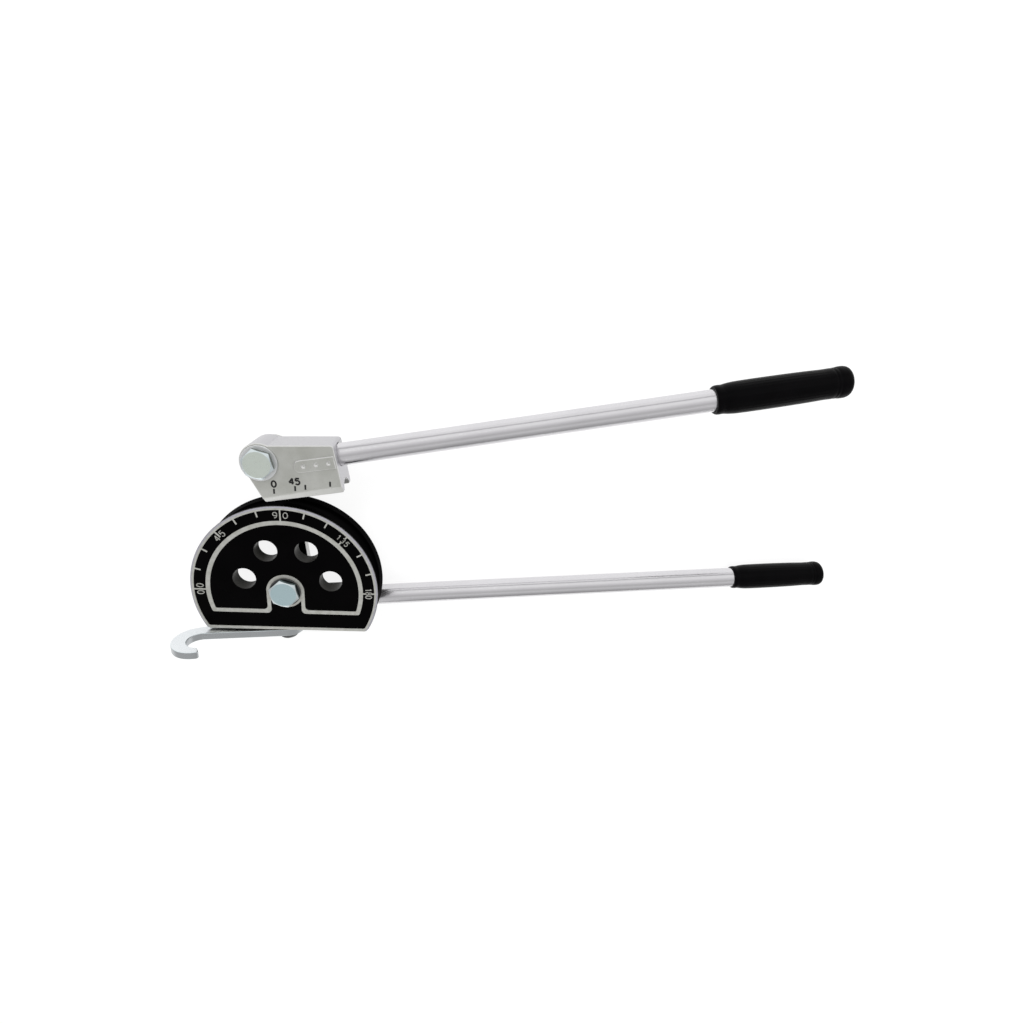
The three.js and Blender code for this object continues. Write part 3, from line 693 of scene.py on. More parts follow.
def blend(tree, factor, first, second):
    """A colour between two, each a colour or a socket."""
    made = add(tree, "ShaderNodeMix", data_type="RGBA", Factor=factor)
    for name, colour in (("A", first), ("B", second)):
        socket = next(s for s in made.inputs if s.name == name and s.type == "RGBA")
        feed(tree, socket, colour if isinstance(colour, bpy.types.NodeSocket) else (*colour, 1))
    return next(s for s in made.outputs if s.type == "RGBA")


def stain(tree, scale, detail, colours):
    """A colour that wanders between two."""
    return blend(tree, ramp(tree, noise(tree, scale, detail), 0, 1), *colours)


def math_node(tree, operation, *values):
    made = add(tree, "ShaderNodeMath", operation=operation)
    for socket, value in zip(made.inputs, values):
        feed(tree, socket, value)
    return made.outputs["Value"]


def finish_shader(tree, shader, colour, rough, height, depth, strength=1):
    """The shader's colour, roughness and bumps, each from a socket. The bumps' depth is in metres."""
    bumps = add(tree, "ShaderNodeBump", Height=height, Distance=depth, Strength=strength)
    for socket, name in ((colour, "Base Color"), (rough, "Roughness"), (bumps.outputs["Normal"], "Normal")):
        tree.links.new(socket, shader.inputs[name])


def coordinate(tree, space, axis):
    """One part of a place or of a direction, in the named space."""
    place = add(tree, "ShaderNodeTexCoord").outputs[space]
    return add(tree, "ShaderNodeSeparateXYZ", Vector=place).outputs[axis]


def axis_distance(tree):
    """How far a point is from the object's own Z axis."""
    place = add(tree, "ShaderNodeTexCoord").outputs["Object"]
    level = add(tree, "ShaderNodeVectorMath", operation="MULTIPLY", Vector=place)
    level.inputs[1].default_value = (1, 1, 0)
    reach = add(tree, "ShaderNodeVectorMath", operation="LENGTH", Vector=level.outputs["Vector"])
    return reach.outputs["Value"]


def face_share(tree, across):
    return math_node(tree, "ABSOLUTE", coordinate(tree, "Normal", across))


def side_share(tree, across):
    """1 on the sides of a flat piece and 0 on its two faces, which face along the named axis."""
    return ramp(tree, face_share(tree, across), 1, 0, *SIDE_FADE)


def edge_share(tree, across):
    """1 on the chamfers and round edges between a flat piece's sides and its two faces."""
    flat = face_share(tree, across)
    off_sides = ramp(tree, flat, 0, 1, *EDGE_RISE)
    return math_node(tree, "MULTIPLY", off_sides, ramp(tree, flat, 1, 0, *EDGE_FALL))


def metal(name, dark, light, roughness, grain=PLAIN_GRAIN, metallic=1, stretch=(1, 1, 1), across=None,
          side_shade_factor=1):
    """Metal with a fine grain, and, if its faces' axis is given, sides darkened as painted shade and edges
    lightened as a painted highlight.
    """
    material, tree, shader = node_tree(name, {"Metallic": metallic})
    fine = noise(tree, grain, 2, stretch)
    colour = stain(tree, grain / GRAIN_PER_STAIN, 4, (dark, light))
    if across:
        # Painted shade darkens the sides, and a painted highlight lightens the chamfers and round edges
        colour = blend(tree, side_share(tree, across), colour, [side_shade_factor * part for part in dark])
        colour = blend(tree, edge_share(tree, across), colour, EDGE_HIGHLIGHT_COLOUR)
    finish_shader(tree, shader, colour, ramp(tree, fine, *roughness), fine, METAL_GRIT)
    return material


def enamelled_bar(name):
    """A flat bar in enamel whose sides are bare."""
    material, tree, shader = node_tree(name, {SPECULAR: ENAMEL_SPECULAR})
    side = side_share(tree, "Z")
    colour = blend(tree, side, stain(tree, 60, 4, LINK_FACE_COLOURS), stain(tree, 60, 4, LINK_SIDE_COLOURS))
    tree.links.new(side, shader.inputs["Metallic"])
    rough = ramp(tree, noise(tree, GLOSS_SCALE, 2), *LINK_ROUGHNESS)
    finish_shader(tree, shader, colour, rough, noise(tree, PEEL_SCALE, 3), depth=0.00004, strength=0.5)
    return material


def enamel_with_lines(name, line_height):
    """Gloss black enamel, with a painted reflection of lighter grey on the bore walls, bare on the raised
    lines, and bare on the worn edge of the rim, which is tinted lavender as a painted highlight.
    """
    material, tree, shader = node_tree(name, {SPECULAR: ENAMEL_SPECULAR})
    wander = ramp(tree, noise(tree, 700, 2), -LINE_WANDER, LINE_WANDER)
    height = math_node(tree, "ADD", coordinate(tree, "Object", "Z"), wander)
    lines = ramp(tree, height, 0, 1, line_height - LINE_FADE, line_height + LINE_FADE)
    distance = axis_distance(tree)
    worn_start = (rim_radius - WORN_RIM_WIDTH) * MM
    worn_floor = (wheel_front - WORN_RIM_DEPTH) * MM
    outer = ramp(tree, distance, 0, 1, worn_start - WORN_FADE, worn_start + WORN_FADE)
    upper = ramp(tree, height, 0, 1, worn_floor - WORN_FADE, worn_floor + WORN_TOP_FADE)
    rim = math_node(tree, "MULTIPLY", outer, upper)
    bare = math_node(tree, "MAXIMUM", lines, rim)
    # Painted reflection: the walls of the bores are lighter grey
    bores = ramp(tree, distance, 1, 0, (BORE_REACH - 1) * MM, BORE_REACH * MM)
    bore_reflection_mask = math_node(tree, "MULTIPLY", bores, side_share(tree, "Z"))
    enamel = blend(tree, bore_reflection_mask, stain(tree, 45, 4, ENAMEL_COLOURS), BORE_REFLECTION_COLOUR)
    # The rim's edge band is bare worn metal with a lavender painted highlight
    bare_and_rim_highlight = blend(tree, rim, stain(tree, 260, 5, BARE_COLOURS), RIM_WEAR_HIGHLIGHT_COLOUR)
    tree.links.new(math_node(tree, "MULTIPLY", bare, BARE_METALLIC), shader.inputs["Metallic"])
    gloss = ramp(tree, noise(tree, GLOSS_SCALE, 2), *ENAMEL_ROUGHNESS)
    rough = math_node(tree, "ADD", gloss, math_node(tree, "MULTIPLY", bare, BARE_ROUGHNESS))
    colour = blend(tree, bare, enamel, bare_and_rim_highlight)
    finish_shader(tree, shader, colour, rough, noise(tree, PEEL_SCALE, 3), depth=0.00003, strength=0.5)
    return material


def cast_metal(name):
    """Satin casting: a fine pebbled skin with soft stains, sides tinted lavender as a painted reflection,
    and edges lightened as a painted highlight.
    """
    material, tree, shader = node_tree(name, {"Metallic": CAST_METALLIC})
    skin = noise(tree, CAST_SKIN_SCALE, 4, rough=CAST_SKIN_ROUGH)
    # Painted reflection tint on the sides, then a painted highlight on the edges
    colour = blend(tree, side_share(tree, "Z"), stain(tree, 70, 5, CAST_COLOURS), CAST_SIDE_REFLECTION_TINT)
    colour = blend(tree, edge_share(tree, "Z"), colour, CAST_EDGE_HIGHLIGHT)
    rough = ramp(tree, skin, *CAST_ROUGHNESS)
    finish_shader(tree, shader, colour, rough, skin, depth=0.00003, strength=0.6)
    return material


def paint(name):
    material, tree, shader = node_tree(name, {})
    rough = ramp(tree, noise(tree, GLOSS_SCALE, 2), 0.5, 0.6)
    colour = stain(tree, 45, 4, PAINT_COLOURS)
    finish_shader(tree, shader, colour, rough, noise(tree, PEEL_SCALE, 3), depth=0.00006, strength=0.5)
    return material


def vinyl(name):
    material, tree, shader = node_tree(name, {SPECULAR: VINYL_SPECULAR})
    rough = ramp(tree, noise(tree, 900, 3), 0.3, 0.42)
    colour = stain(tree, 60, 4, VINYL_COLOURS)
    finish_shader(tree, shader, colour, rough, noise(tree, 1800, 3), depth=0.00002, strength=0.6)
    return material


wheel_enamel = enamel_with_lines("wheel_enamel", (wheel_front - DIAL_RELIEF / 2) * MM)
link_enamel = enamelled_bar("link_enamel")
cast_aluminium = cast_metal("cast_aluminium")
# The bolts and the hook have painted shade on their sides and a painted highlight on their edges
wheel_bolt_zinc = metal("wheel_bolt_zinc", (0.5, 0.65, 0.69), (0.57, 0.72, 0.75), ZINC_ROUGHNESS, ZINC_GRAIN,
                        across="Z", side_shade_factor=0.4)
shoe_bolt_zinc = metal("shoe_bolt_zinc", (0.75, 0.82, 0.75), (0.82, 0.89, 0.82), ZINC_ROUGHNESS, ZINC_GRAIN,
                       across="Z", side_shade_factor=0.3)
washer_zinc = metal("washer_zinc", (0.78, 0.8, 0.81), (0.86, 0.87, 0.88), (0.48, 0.58), ZINC_GRAIN)
hook_zinc = metal("hook_zinc", (0.77, 0.8, 0.82), (0.85, 0.88, 0.9), ZINC_ROUGHNESS, ZINC_GRAIN,
                  across="Y", side_shade_factor=0.6)
# Dark zinc for the hook screw, and for the washer under the wheel bolt's head, where it is painted shade
dark_zinc_and_shade = metal("dark_zinc_and_shade", (0.1, 0.1, 0.1), (0.15, 0.15, 0.15), ZINC_ROUGHNESS, ZINC_GRAIN)
tube_plate = metal("tube_plate", (0.66, 0.65, 0.67), (0.7, 0.69, 0.71), (0.19, 0.23), grain=500,
                   metallic=0.9, stretch=(0.02, 1, 1))
bronze = metal("bronze", (0.42, 0.26, 0.1), (0.55, 0.36, 0.16), (0.3, 0.42))
spring_steel = metal("spring_steel", (0.13, 0.13, 0.14), (0.2, 0.2, 0.21), (0.3, 0.45))
black_vinyl = vinyl("black_vinyl")
number_metal = metal("number_metal", (0.5, 0.5, 0.46), (0.6, 0.6, 0.57), (0.4, 0.5), metallic=BARE_METALLIC)
mark_paint = paint("mark_paint")


# Finished pieces
def soften(body, width):
    modifier = body.modifiers.new("soften", "BEVEL")
    modifier.width = width
    modifier.segments = SOFT_EDGE_SEGMENTS
    modifier.limit_method = "ANGLE"
    modifier.angle_limit = radians(SMOOTH_ANGLE)
    modifier.use_clamp_overlap = False
    bake_modifiers(body)


def finish_piece(name, body, place, material, rides_on, nodes, edge=0, sharp=SMOOTH_ANGLE):
    if edge:
        soften(body, edge)
    moved(body, Matrix.Scale(MM, 4) @ place)
    body.name = name
    body.data.name = name
    body.data.materials.clear()
    body.data.materials.append(material)
    body.data.shade_smooth()
    body.data.set_sharp_from_angle(angle=radians(sharp))
    normals = body.modifiers.new("normals", "WEIGHTED_NORMAL")
    normals.keep_sharp = True
    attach(body, rides_on)
    if nodes:
        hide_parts(*nodes)


def finish_part(node, body, place, material, edge=0, sharp=SMOOTH_ANGLE, ending="fine"):
    """A piece that takes the place of one node, on its body."""
    finish_piece(f"{node}_{ending}", body, place, material, bodies[node], [node], edge, sharp)


at_origin = Matrix.Identity(4)


# Form wheel
def wheel_blank():
    lip = rim_radius + RIM_SWELL - RIM_EDGE
    side = [
        *arc(lip, RIM_EDGE, RIM_EDGE, -90, 0, 90 / EDGE_STEPS),
        *arc(BEND_RADIUS, half_thickness, groove_radius, 270, 90, GROOVE_STEP),
        *arc(lip, 2 * half_thickness - RIM_EDGE, RIM_EDGE, 0, 90, 45 / EDGE_STEPS),
    ]
    outline = d_outline(rim_radius, WHEEL_FLAT_DROP, WHEEL_CORNER, OVERRUN)
    blank = turned([(0, 0), *side, (0, 2 * half_thickness)], WHEEL_SEGMENTS)
    return meet(blank, plate(outline, -OVERRUN, 2 * half_thickness + OVERRUN))


def tick(angle, inner, outer, floor, roof):
    outline = rectangle(inner, outer, -TICK_WIDTH / 2, TICK_WIDTH / 2)
    return moved(plate(outline, floor, roof), spin(angle))


def dial_ticks(ground_radius, floor, roof):
    """The marks round the dial. Some go right across, and some leave room for a digit."""
    outer = ground_radius + RIM_LINE_WIDTH / 2
    ring_foot = RING_RADIUS - RING_LINE_WIDTH / 2
    ticks = []
    for reading in range(0, 181, TICK_STEP):
        angle = 180 - reading
        if reading in LONG_TICKS:
            ticks.append(tick(angle, ring_foot, outer, floor, roof))
        elif reading in BROKEN_TICKS:
            ticks.append(tick(angle, ground_radius - TICK_STUB, outer, floor, roof))
            ticks.append(tick(angle, ring_foot, RING_RADIUS + TICK_STUB, floor, roof))
        else:
            length = MIDDLE_TICK_LENGTH if reading in MIDDLE_TICKS else TICK_LENGTH
            ticks.append(tick(angle, ground_radius - length, outer, floor, roof))
    return ticks


def dial_ground():
    """What is cut away round the raised lines. Its tools differ in height, so that no two share a face."""
    floor, roof = 2 * half_thickness - DIAL_RELIEF, 2 * half_thickness + OVERRUN
    ground_radius = rim_radius - RIM_LINE_WIDTH
    inner_foot = RING_FOOT_DROP - RING_FOOT_WIDTH
    half = ARCH_RADIUS - ARCH_LINE_WIDTH / 2

    def tool(outline, steps):
        return plate(outline, floor - steps * TOOL_STEP, roof + steps * TOOL_STEP)

    ground = tool(d_outline(ground_radius, WHEEL_FLAT_DROP - FLAT_LINE_WIDTH, RING_CORNER), 0)
    inner_panel = cut(
        tool(d_outline(RING_RADIUS - RING_LINE_WIDTH, inner_foot, RING_CORNER / 2), 2),
        tool(arch_outline(ARCH_RADIUS, inner_foot, ARCH_FLARE, RING_FOOT_WIDTH), 4),
    )
    ring_line = cut(
        tool(d_outline(RING_RADIUS, RING_FOOT_DROP, RING_CORNER), 1),
        inner_panel,
        tool(arch_outline(ARCH_RADIUS - ARCH_LINE_WIDTH, RING_FOOT_DROP, ARCH_FLARE, RING_FOOT_WIDTH), 2),
    )
    pad = tool(circle(PIVOT_PAD_RADIUS), 2)
    shoulder = tool(rectangle(-half, half, -PIVOT_PAD_SHOULDER, 0), 3)
    ticks = dial_ticks(ground_radius, floor - 2 * TOOL_STEP, roof + 2 * TOOL_STEP)
    return cut(ground, ring_line, pad, shoulder, *ticks)


def back_pocket():
    depth = 2 * half_thickness - WEB_THICKNESS
    pocket = plate(d_outline(pocket_radius, POCKET_DROP, POCKET_CORNER), -OVERRUN, depth)
    tools = [rod(HUB_RADIUS, -2 * OVERRUN, depth + OVERRUN)]
    rib_outline = rectangle(RIB_START, pocket_radius + OVERRUN, -RIB_THICKNESS / 2, RIB_THICKNESS / 2)
    for angle in RIB_ANGLES:
        tools.append(moved(plate(rib_outline, RIB_SET_BACK, depth + OVERRUN), spin(angle)))
    return cut(pocket, *tools)


def handle_socket():
    back = wheel_back - lower_handle_height
    embed = back + WEB_THICKNESS / 2
    outline = arc(0, 0, socket_radius, 180, 360) + [
        (socket_radius, embed), (-socket_radius / 2, embed), (-socket_radius, back)]
    block = plate(outline, SOCKET_START, SOCKET_START + socket_length, SOCKET_EDGE)
    return moved(block, lower_handle_place)


def pin_reaches():
    return [SOCKET_START + share * socket_length for share in PIN_REACH_SHARES]


def across_tube(body, reach):
    return moved(body, shift(0, 0, reach) @ spin(90, "Y"))


def form_wheel():
    blank = cut(wheel_blank(), dial_ground(), back_pocket())
    body = join(moved(blank, shift(0, 0, wheel_back)), handle_socket())
    bores = [bore(bolt_hole, wheel_back, wheel_front)]
    for angle, share in zip(HOLE_ANGLES, HOLE_REACH_SHARES):
        hole = rod(HOLE_RADIUS, wheel_back + RIB_SET_BACK, wheel_front + OVERRUN)
        bores.append(moved(hole, spin(angle) @ shift(rim_radius * share, 0, 0)))
    tube_hole = rod(tube_bore, SOCKET_START + SOCKET_FLOOR, SOCKET_START + socket_length + OVERRUN)
    bores.append(moved(tube_hole, lower_handle_place))
    for reach in pin_reaches():
        pin_hole = bore(PIN_RADIUS + SHAFT_GAP, -socket_radius, socket_radius, SMALL_SEGMENTS)
        bores.append(moved(across_tube(pin_hole, reach), lower_handle_place))
    screw_bore = bore(screw_hole, WHEEL_FLAT_DROP - HOOK_SCREW_DEPTH, WHEEL_FLAT_DROP, SMALL_SEGMENTS)
    bores.append(moved(screw_bore, hook_place))
    return cut(body, *bores)


finish_part("form_wheel", form_wheel(), at_origin, wheel_enamel, WHEEL_SOFT_EDGE, ending="casting")


# Digits drawn with strokes of one width, each in a cell one wide and one high
def digit_strokes(digit):
    def oval(cy, rx, ry, start=90, end=450):
        return [(x * rx, cy + y * ry) for x, y in arc(0, 0, 1, start, end, STROKE_STEP)]

    return {
        "0": [oval(0, 0.5, 0.5)],
        "1": [[(0.05, 0.5), (0.05, -0.5)], [(-0.3, 0.25), (0.05, 0.5)]],
        "3": [oval(0.24, 0.42, 0.26, 150, -90) + oval(-0.24, 0.46, 0.26, 90, -150)[1:]],
        "4": [[(0.2, -0.5), (0.2, 0.5)], [(0.2, 0.5), (-0.5, -0.2)], [(-0.5, -0.2), (0.5, -0.2)]],
        "5": [[(0.4, 0.5), (-0.36, 0.5)], [(-0.34, 0.5), (-0.38, 0.05)], oval(-0.17, 0.46, 0.33, 142, -145)],
        "8": [oval(0.25, 0.38, 0.25), oval(-0.25, 0.48, 0.25)],
        "9": [oval(0.2, 0.45, 0.3), [(0.45, 0.2), (0.42, -0.1), (0.25, -0.36), (-0.15, -0.5)]],
    }[digit]


def strokes_body(strokes, width, height_share):
    """Strokes as cords along the plane Z = 0, round for a height share of one."""
    curve = bpy.data.curves.new("strokes", "CURVE")
    curve.dimensions = "3D"
    curve.bevel_depth = width / 2
    curve.bevel_resolution = 3
    curve.use_fill_caps = True
    for points in strokes:
        closed = (Vector(points[0]) - Vector(points[-1])).length < 1e-6
        kept = points[:-1] if closed else points
        spline = curve.splines.new("POLY")
        spline.points.add(len(kept) - 1)
        spline.use_cyclic_u = closed
        for point, (x, y) in zip(spline.points, kept):
            point.co = (x, y, 0, 1)
    drawn = placed_object("strokes", curve)
    body = placed_object("strokes", finished_mesh(drawn))
    bpy.data.objects.remove(drawn)
    return moved(body, Matrix.Diagonal((1, 1, height_share, 1)))


def placed(points, place):
    return [tuple((place @ Vector((x, y, 0)))[:2]) for x, y in points]


def placed_digit(digit, width, height, place):
    cell = place @ Matrix.Diagonal((width, height, 1, 1))
    return [placed(points, cell) for points in digit_strokes(digit)]


def spaced(digits, pitch):
    """Each digit with its place along, about the middle of them all."""
    return [(digit, (i - (len(digits) - 1) / 2) * pitch) for i, digit in enumerate(digits)]


def dial_numbers():
    middle = (RING_RADIUS + rim_radius - RIM_LINE_WIDTH) / 2
    strokes = []
    for reading, digits, pitch, height, width in DIAL_NUMBERS:
        for digit, along in spaced(digits, pitch):
            turn = 180 - reading - degrees(along / middle) - 90
            strokes += placed_digit(digit, width, height, spin(turn) @ shift(0, middle, 0))
    return strokes_body(strokes, DIAL_STROKE, DIAL_STROKE_HEIGHT_SHARE)


finish_piece("dial_numbers", dial_numbers(), shift(0, 0, wheel_front - DIAL_RELIEF), number_metal,
             "frame", [])


# Pivot stacks
def pivot_stack(prefix, place, head_washer, turn, zinc, under_head):
    """A shoulder bolt with its nut and three washers. The head's washer is given by radius and thickness."""
    stud_hole = STUD_RADIUS + SHAFT_GAP
    washer_floor = wheel_front + SEAT_GAP
    head_floor = washer_floor + head_washer[1] + SEAT_GAP
    nut_top = STUD_TIP + NUT_HEIGHT
    rows, waver = threaded(0, link_floor - THREAD_PITCH, STUD_RADIUS, STUD_CHAMFER)
    rows = [(STUD_RADIUS - STUD_CHAMFER, 0), *rows, (STUD_RADIUS, link_floor), (BOLT_RADIUS, link_floor)]
    bolt = hex_bolt(rows, waver, head_floor, HEAD_ACROSS_FLATS, HEAD_HEIGHT, turn)
    nut = cut(hex_body(NUT_ACROSS_FLATS, STUD_TIP, nut_top, turn, True),
              bore(stud_hole, STUD_TIP, nut_top, SMALL_SEGMENTS))
    shapes = [(f"{prefix}_bolt", bolt, zinc)]
    for name, material, hole, radius, low, thickness in (
        ("head", under_head, bolt_hole, head_washer[0], washer_floor, head_washer[1]),
        ("thrust", bronze, bolt_hole, THRUST_WASHER_RADIUS, thrust_floor, THRUST_WASHER_THICKNESS),
        ("nut", washer_zinc, stud_hole, NUT_WASHER_RADIUS, nut_washer_floor, NUT_WASHER_THICKNESS),
    ):
        washer = ring(hole, radius, low, low + thickness, WASHER_EDGE)
        shapes.append((f"{prefix}_{name}_washer", washer, material))
    for node, shape, material in [*shapes, (f"{prefix}_nut", nut, zinc)]:
        finish_part(node, shape, place, material, sharp=HEX_SHARP_ANGLE)


# The washer under the wheel bolt's head is dark, a painted shadow round the head
pivot_stack("pivot", at_origin, WHEEL_HEAD_WASHER, WHEEL_BOLT_TURN, wheel_bolt_zinc, dark_zinc_and_shade)
pivot_stack("shoe", shoe_bolt_place, SHOE_HEAD_WASHER, SHOE_BOLT_TURN, shoe_bolt_zinc, washer_zinc)


# Link
def link_bar():
    outline = eye_bar_outline(link_length, LINK_EYE_RADIUS, LINK_HALF_WIDTH, LINK_FILLET)
    bar = plate(outline, link_floor, link_floor + LINK_THICKNESS, LINK_EDGE)
    bolt_bore = moved(bore(bolt_hole, link_floor, thrust_floor), shift(link_length, 0, 0))
    return cut(bar, bore(bush_radius + SHAFT_GAP, link_floor, thrust_floor), bolt_bore)


finish_part("link_bar", link_bar(), link_place, link_enamel)
finish_part("link_bush", ring(bolt_hole, bush_radius, link_floor, link_floor + LINK_THICKNESS), link_place,
            bronze)


# Bending shoe
def shoe_block():
    outline = rounded([
        (-SHOE_HEEL_REACH, -SHOE_SOLE_DROP, SHOE_SOLE_CORNER),
        (SHOE_FRONT_REACH, -SHOE_SOLE_DROP, SHOE_SOLE_CORNER),
        (SHOE_FRONT_REACH, SHOE_TOP_AT_FRONT, SHOE_TOP_CORNER),
        (0, SHOE_TOP_AT_HUB, 0),
        (*SHOE_HEEL_TOP, 0),
    ])
    foot, end, half = -PAD_TOP - PAD_HEIGHT, SHOE_FRONT_REACH - SHOE_EDGE, half_thickness
    pad = rounded([(PAD_START, foot, PAD_CORNER), (end, foot, 0), (end, -PAD_TOP, 0),
                   (PAD_START, -PAD_TOP, PAD_CORNER)])
    return join(
        plate(outline, -half, half, SHOE_EDGE),
        plate(circle(SHOE_HUB_RADIUS), -half, half, SHOE_EDGE),
        plate(pad, half - PAD_RELIEF, half + PAD_RELIEF, PAD_RELIEF * PAD_EDGE_SHARE),
    )


def stake_pits(face):
    """Ball-shaped pits in a row along the raised pad."""
    ball_lift = (STAKE_RADIUS ** 2 - STAKE_DEPTH ** 2) / (2 * STAKE_DEPTH)
    ball_radius = ball_lift + STAKE_DEPTH
    ball = arc(0, face + ball_lift, ball_radius, -90, 90, SMALL_STEP)[1:-1]
    profile = [(0, face - STAKE_DEPTH), *ball, (0, face + ball_lift + ball_radius)]
    pits = []
    for i in range(STAKE_COUNT):
        place = shift(STAKE_START + i * STAKE_PITCH, -PAD_TOP - PAD_HEIGHT / 2, 0)
        pits.append(moved(turned(profile, SMALL_SEGMENTS // 2), place))
    return pits


def sole_tools():
    """What makes the sole: the tube's groove, and a bevel on each side of it."""
    heel_end = -SHOE_HEEL_REACH - OVERRUN
    reach = SHOE_FRONT_REACH + OVERRUN - heel_end
    groove_drop = SHOE_GROOVE_LIFT - groove_radius - SHOE_SOLE_DROP
    tools = [moved(rod(groove_radius, 0, reach), shift(heel_end, groove_drop, 0) @ along_x)]
    foot = half_thickness - SOLE_BEVEL_DEPTH * (1 + OVERRUN / SOLE_BEVEL_HEIGHT)
    low, high = -SHOE_SOLE_DROP - OVERRUN, -SHOE_SOLE_DROP + SOLE_BEVEL_HEIGHT
    for side in (-1, 1):
        outside = side * (half_thickness + OVERRUN)
        wedge = [(low, side * foot), (high, side * half_thickness), (high, outside), (low, outside)]
        tools.append(moved(plate(wedge, 0, reach), shift(heel_end, 0, 0) @ along_x))
    return tools


def bending_shoe():
    bush_hole = bore(bush_radius + SHAFT_GAP, -half_thickness, half_thickness)
    tube_hole = rod(tube_bore, UPPER_SOCKET_START, SHOE_FRONT_REACH + OVERRUN)
    pits = stake_pits(half_thickness + PAD_RELIEF)
    return cut(shoe_block(), *sole_tools(), bush_hole, moved(tube_hole, upper_handle_lie), *pits)


def shoe_marks():
    """The index marks and numbers, drawn upright when the tool is at rest."""
    level = spin(-SHOE_REST_SLOPE)
    half = SHOE_MARK_LENGTH / 2
    strokes = []
    for reach in SHOE_MARK_REACHES:
        place = shift(reach, SHOE_MARK_LIFT - SHOE_SOLE_DROP, 0) @ level
        strokes.append(placed([(0, -half), (0, half)], place))
    for digits, reach, lift, width, pitch in SHOE_NUMBERS:
        place = shift(reach, lift - SHOE_SOLE_DROP, 0) @ level
        for digit, along in spaced(digits, pitch):
            strokes += placed_digit(digit, width, SHOE_DIGIT_HEIGHT, place @ shift(along, 0, 0))
    return strokes_body(strokes, SHOE_STROKE, PAINT_THICKNESS_SHARE)


finish_part("bending_shoe", bending_shoe(), shoe_place, cast_aluminium, SHOE_SOFT_EDGE, ending="casting")
finish_piece("shoe_marks", shoe_marks(), shoe_place @ shift(0, 0, half_thickness), mark_paint, "shoe", [])
finish_part("shoe_bush", ring(bolt_hole, bush_radius, -half_thickness, half_thickness), shoe_place, bronze)


# Handles
def smooth_share(shares, at):
    """The outline's radius share at a place along it, on a smooth curve through its points."""
    i = max(k for k in range(len(shares) - 1) if shares[k][0] <= at)
    (x0, y0), (x1, y1) = shares[i], shares[i + 1]
    before = shares[i - 1] if i > 0 else shares[i]
    after = shares[i + 2] if i + 2 < len(shares) else shares[i + 1]
    slope0 = (y1 - before[1]) / (x1 - before[0])
    slope1 = (after[1] - y0) / (after[0] - x0)
    t, run = (at - x0) / (x1 - x0), x1 - x0
    return ((2 * t ** 3 - 3 * t ** 2 + 1) * y0 + (t ** 3 - 2 * t ** 2 + t) * run * slope0
            + (3 * t ** 2 - 2 * t ** 3) * y1 + (t ** 3 - t ** 2) * run * slope1)


def grip(radius, start, length):
    """A moulded grip: a turned outline with fine flutes along its middle."""
    bore_end = start + length - GRIP_END_WALL
    alongs = [*(i / GRIP_ROWS for i in range(GRIP_ROWS)), *GRIP_LAST_ROWS]
    outside = [(radius * smooth_share(GRIP_OUTLINE_SHARES, a), start + length * a) for a in alongs]
    first, full, fading, last = FLUTE_SPAN_SHARES

    def waver(angle, reach, height):
        along = (height - start) / length
        if reach <= tube_bore or not first < along < last:
            return reach
        depth = min(1, (along - first) / (full - first), (last - along) / (last - fading))
        return reach - FLUTE_DEPTH * depth * (0.5 - 0.5 * cos(FLUTE_COUNT * angle)) ** 2

    profile = [(0, bore_end), (tube_bore, bore_end), (tube_bore, start), *outside, (0, start + length)]
    return turned(profile, FLUTE_FACETS * FLUTE_COUNT, waver)


def handle(prefix, place, tube_start, grip_radius, grip_start, grip_length):
    """A tube and the grip that fits over its end."""
    tube_end = grip_start + grip_length - GRIP_END_WALL - SEAT_GAP
    tube = ring(TUBE_RADIUS - TUBE_WALL, TUBE_RADIUS, tube_start, tube_end, WASHER_EDGE)
    finish_part(f"{prefix}_handle_tube", tube, place, tube_plate)
    finish_part(f"{prefix}_grip", grip(grip_radius, grip_start, grip_length), place, black_vinyl)


handle("upper", upper_handle_place, UPPER_SOCKET_START + SEAT_GAP,
       UPPER_GRIP_RADIUS, UPPER_GRIP_START, UPPER_GRIP_LENGTH)
handle("lower", lower_handle_place, SOCKET_START + SOCKET_FLOOR + SEAT_GAP,
       LOWER_GRIP_RADIUS, LOWER_GRIP_START, LOWER_GRIP_LENGTH)


def slotted_pin(half):
    start, end = PIN_SLOT / 2, 360 - PIN_SLOT / 2
    outline = arc(0, 0, PIN_RADIUS, start, end, SMALL_STEP)
    outline += arc(0, 0, PIN_RADIUS - PIN_WALL, end, start, SMALL_STEP)
    return plate(outline, -half, half, PIN_WALL / 4)


for reach, name in zip(pin_reaches(), ("inner", "outer")):
    pin = across_tube(slotted_pin(socket_radius - PIN_SET_BACK), reach)
    finish_part(f"lower_handle_pin_{name}", pin, lower_handle_place, spring_steel)


# Tube hook
def hook_plate():
    eye = rod(HOOK_SCREW_RADIUS + HOOK_SLEEVE_WALL + 2 * SHAFT_GAP, 0, hook_top + HOOK_THICKNESS + OVERRUN)
    return cut(plate(hook_outline(), hook_top, hook_top + HOOK_THICKNESS, HOOK_EDGE), eye)


def hook_screw():
    length = hook_head_top - WHEEL_FLAT_DROP + HOOK_SCREW_DEPTH
    rows, waver = threaded(0, HOOK_SCREW_DEPTH - THREAD_PITCH, HOOK_SCREW_RADIUS, WASHER_EDGE)
    rows = [(HOOK_SCREW_RADIUS - WASHER_EDGE, 0), *rows]
    screw = hex_bolt(rows, waver, length, HOOK_SCREW_ACROSS_FLATS, HOOK_SCREW_HEAD_HEIGHT, 0)
    return moved(screw, shift(0, 0, WHEEL_FLAT_DROP - HOOK_SCREW_DEPTH))


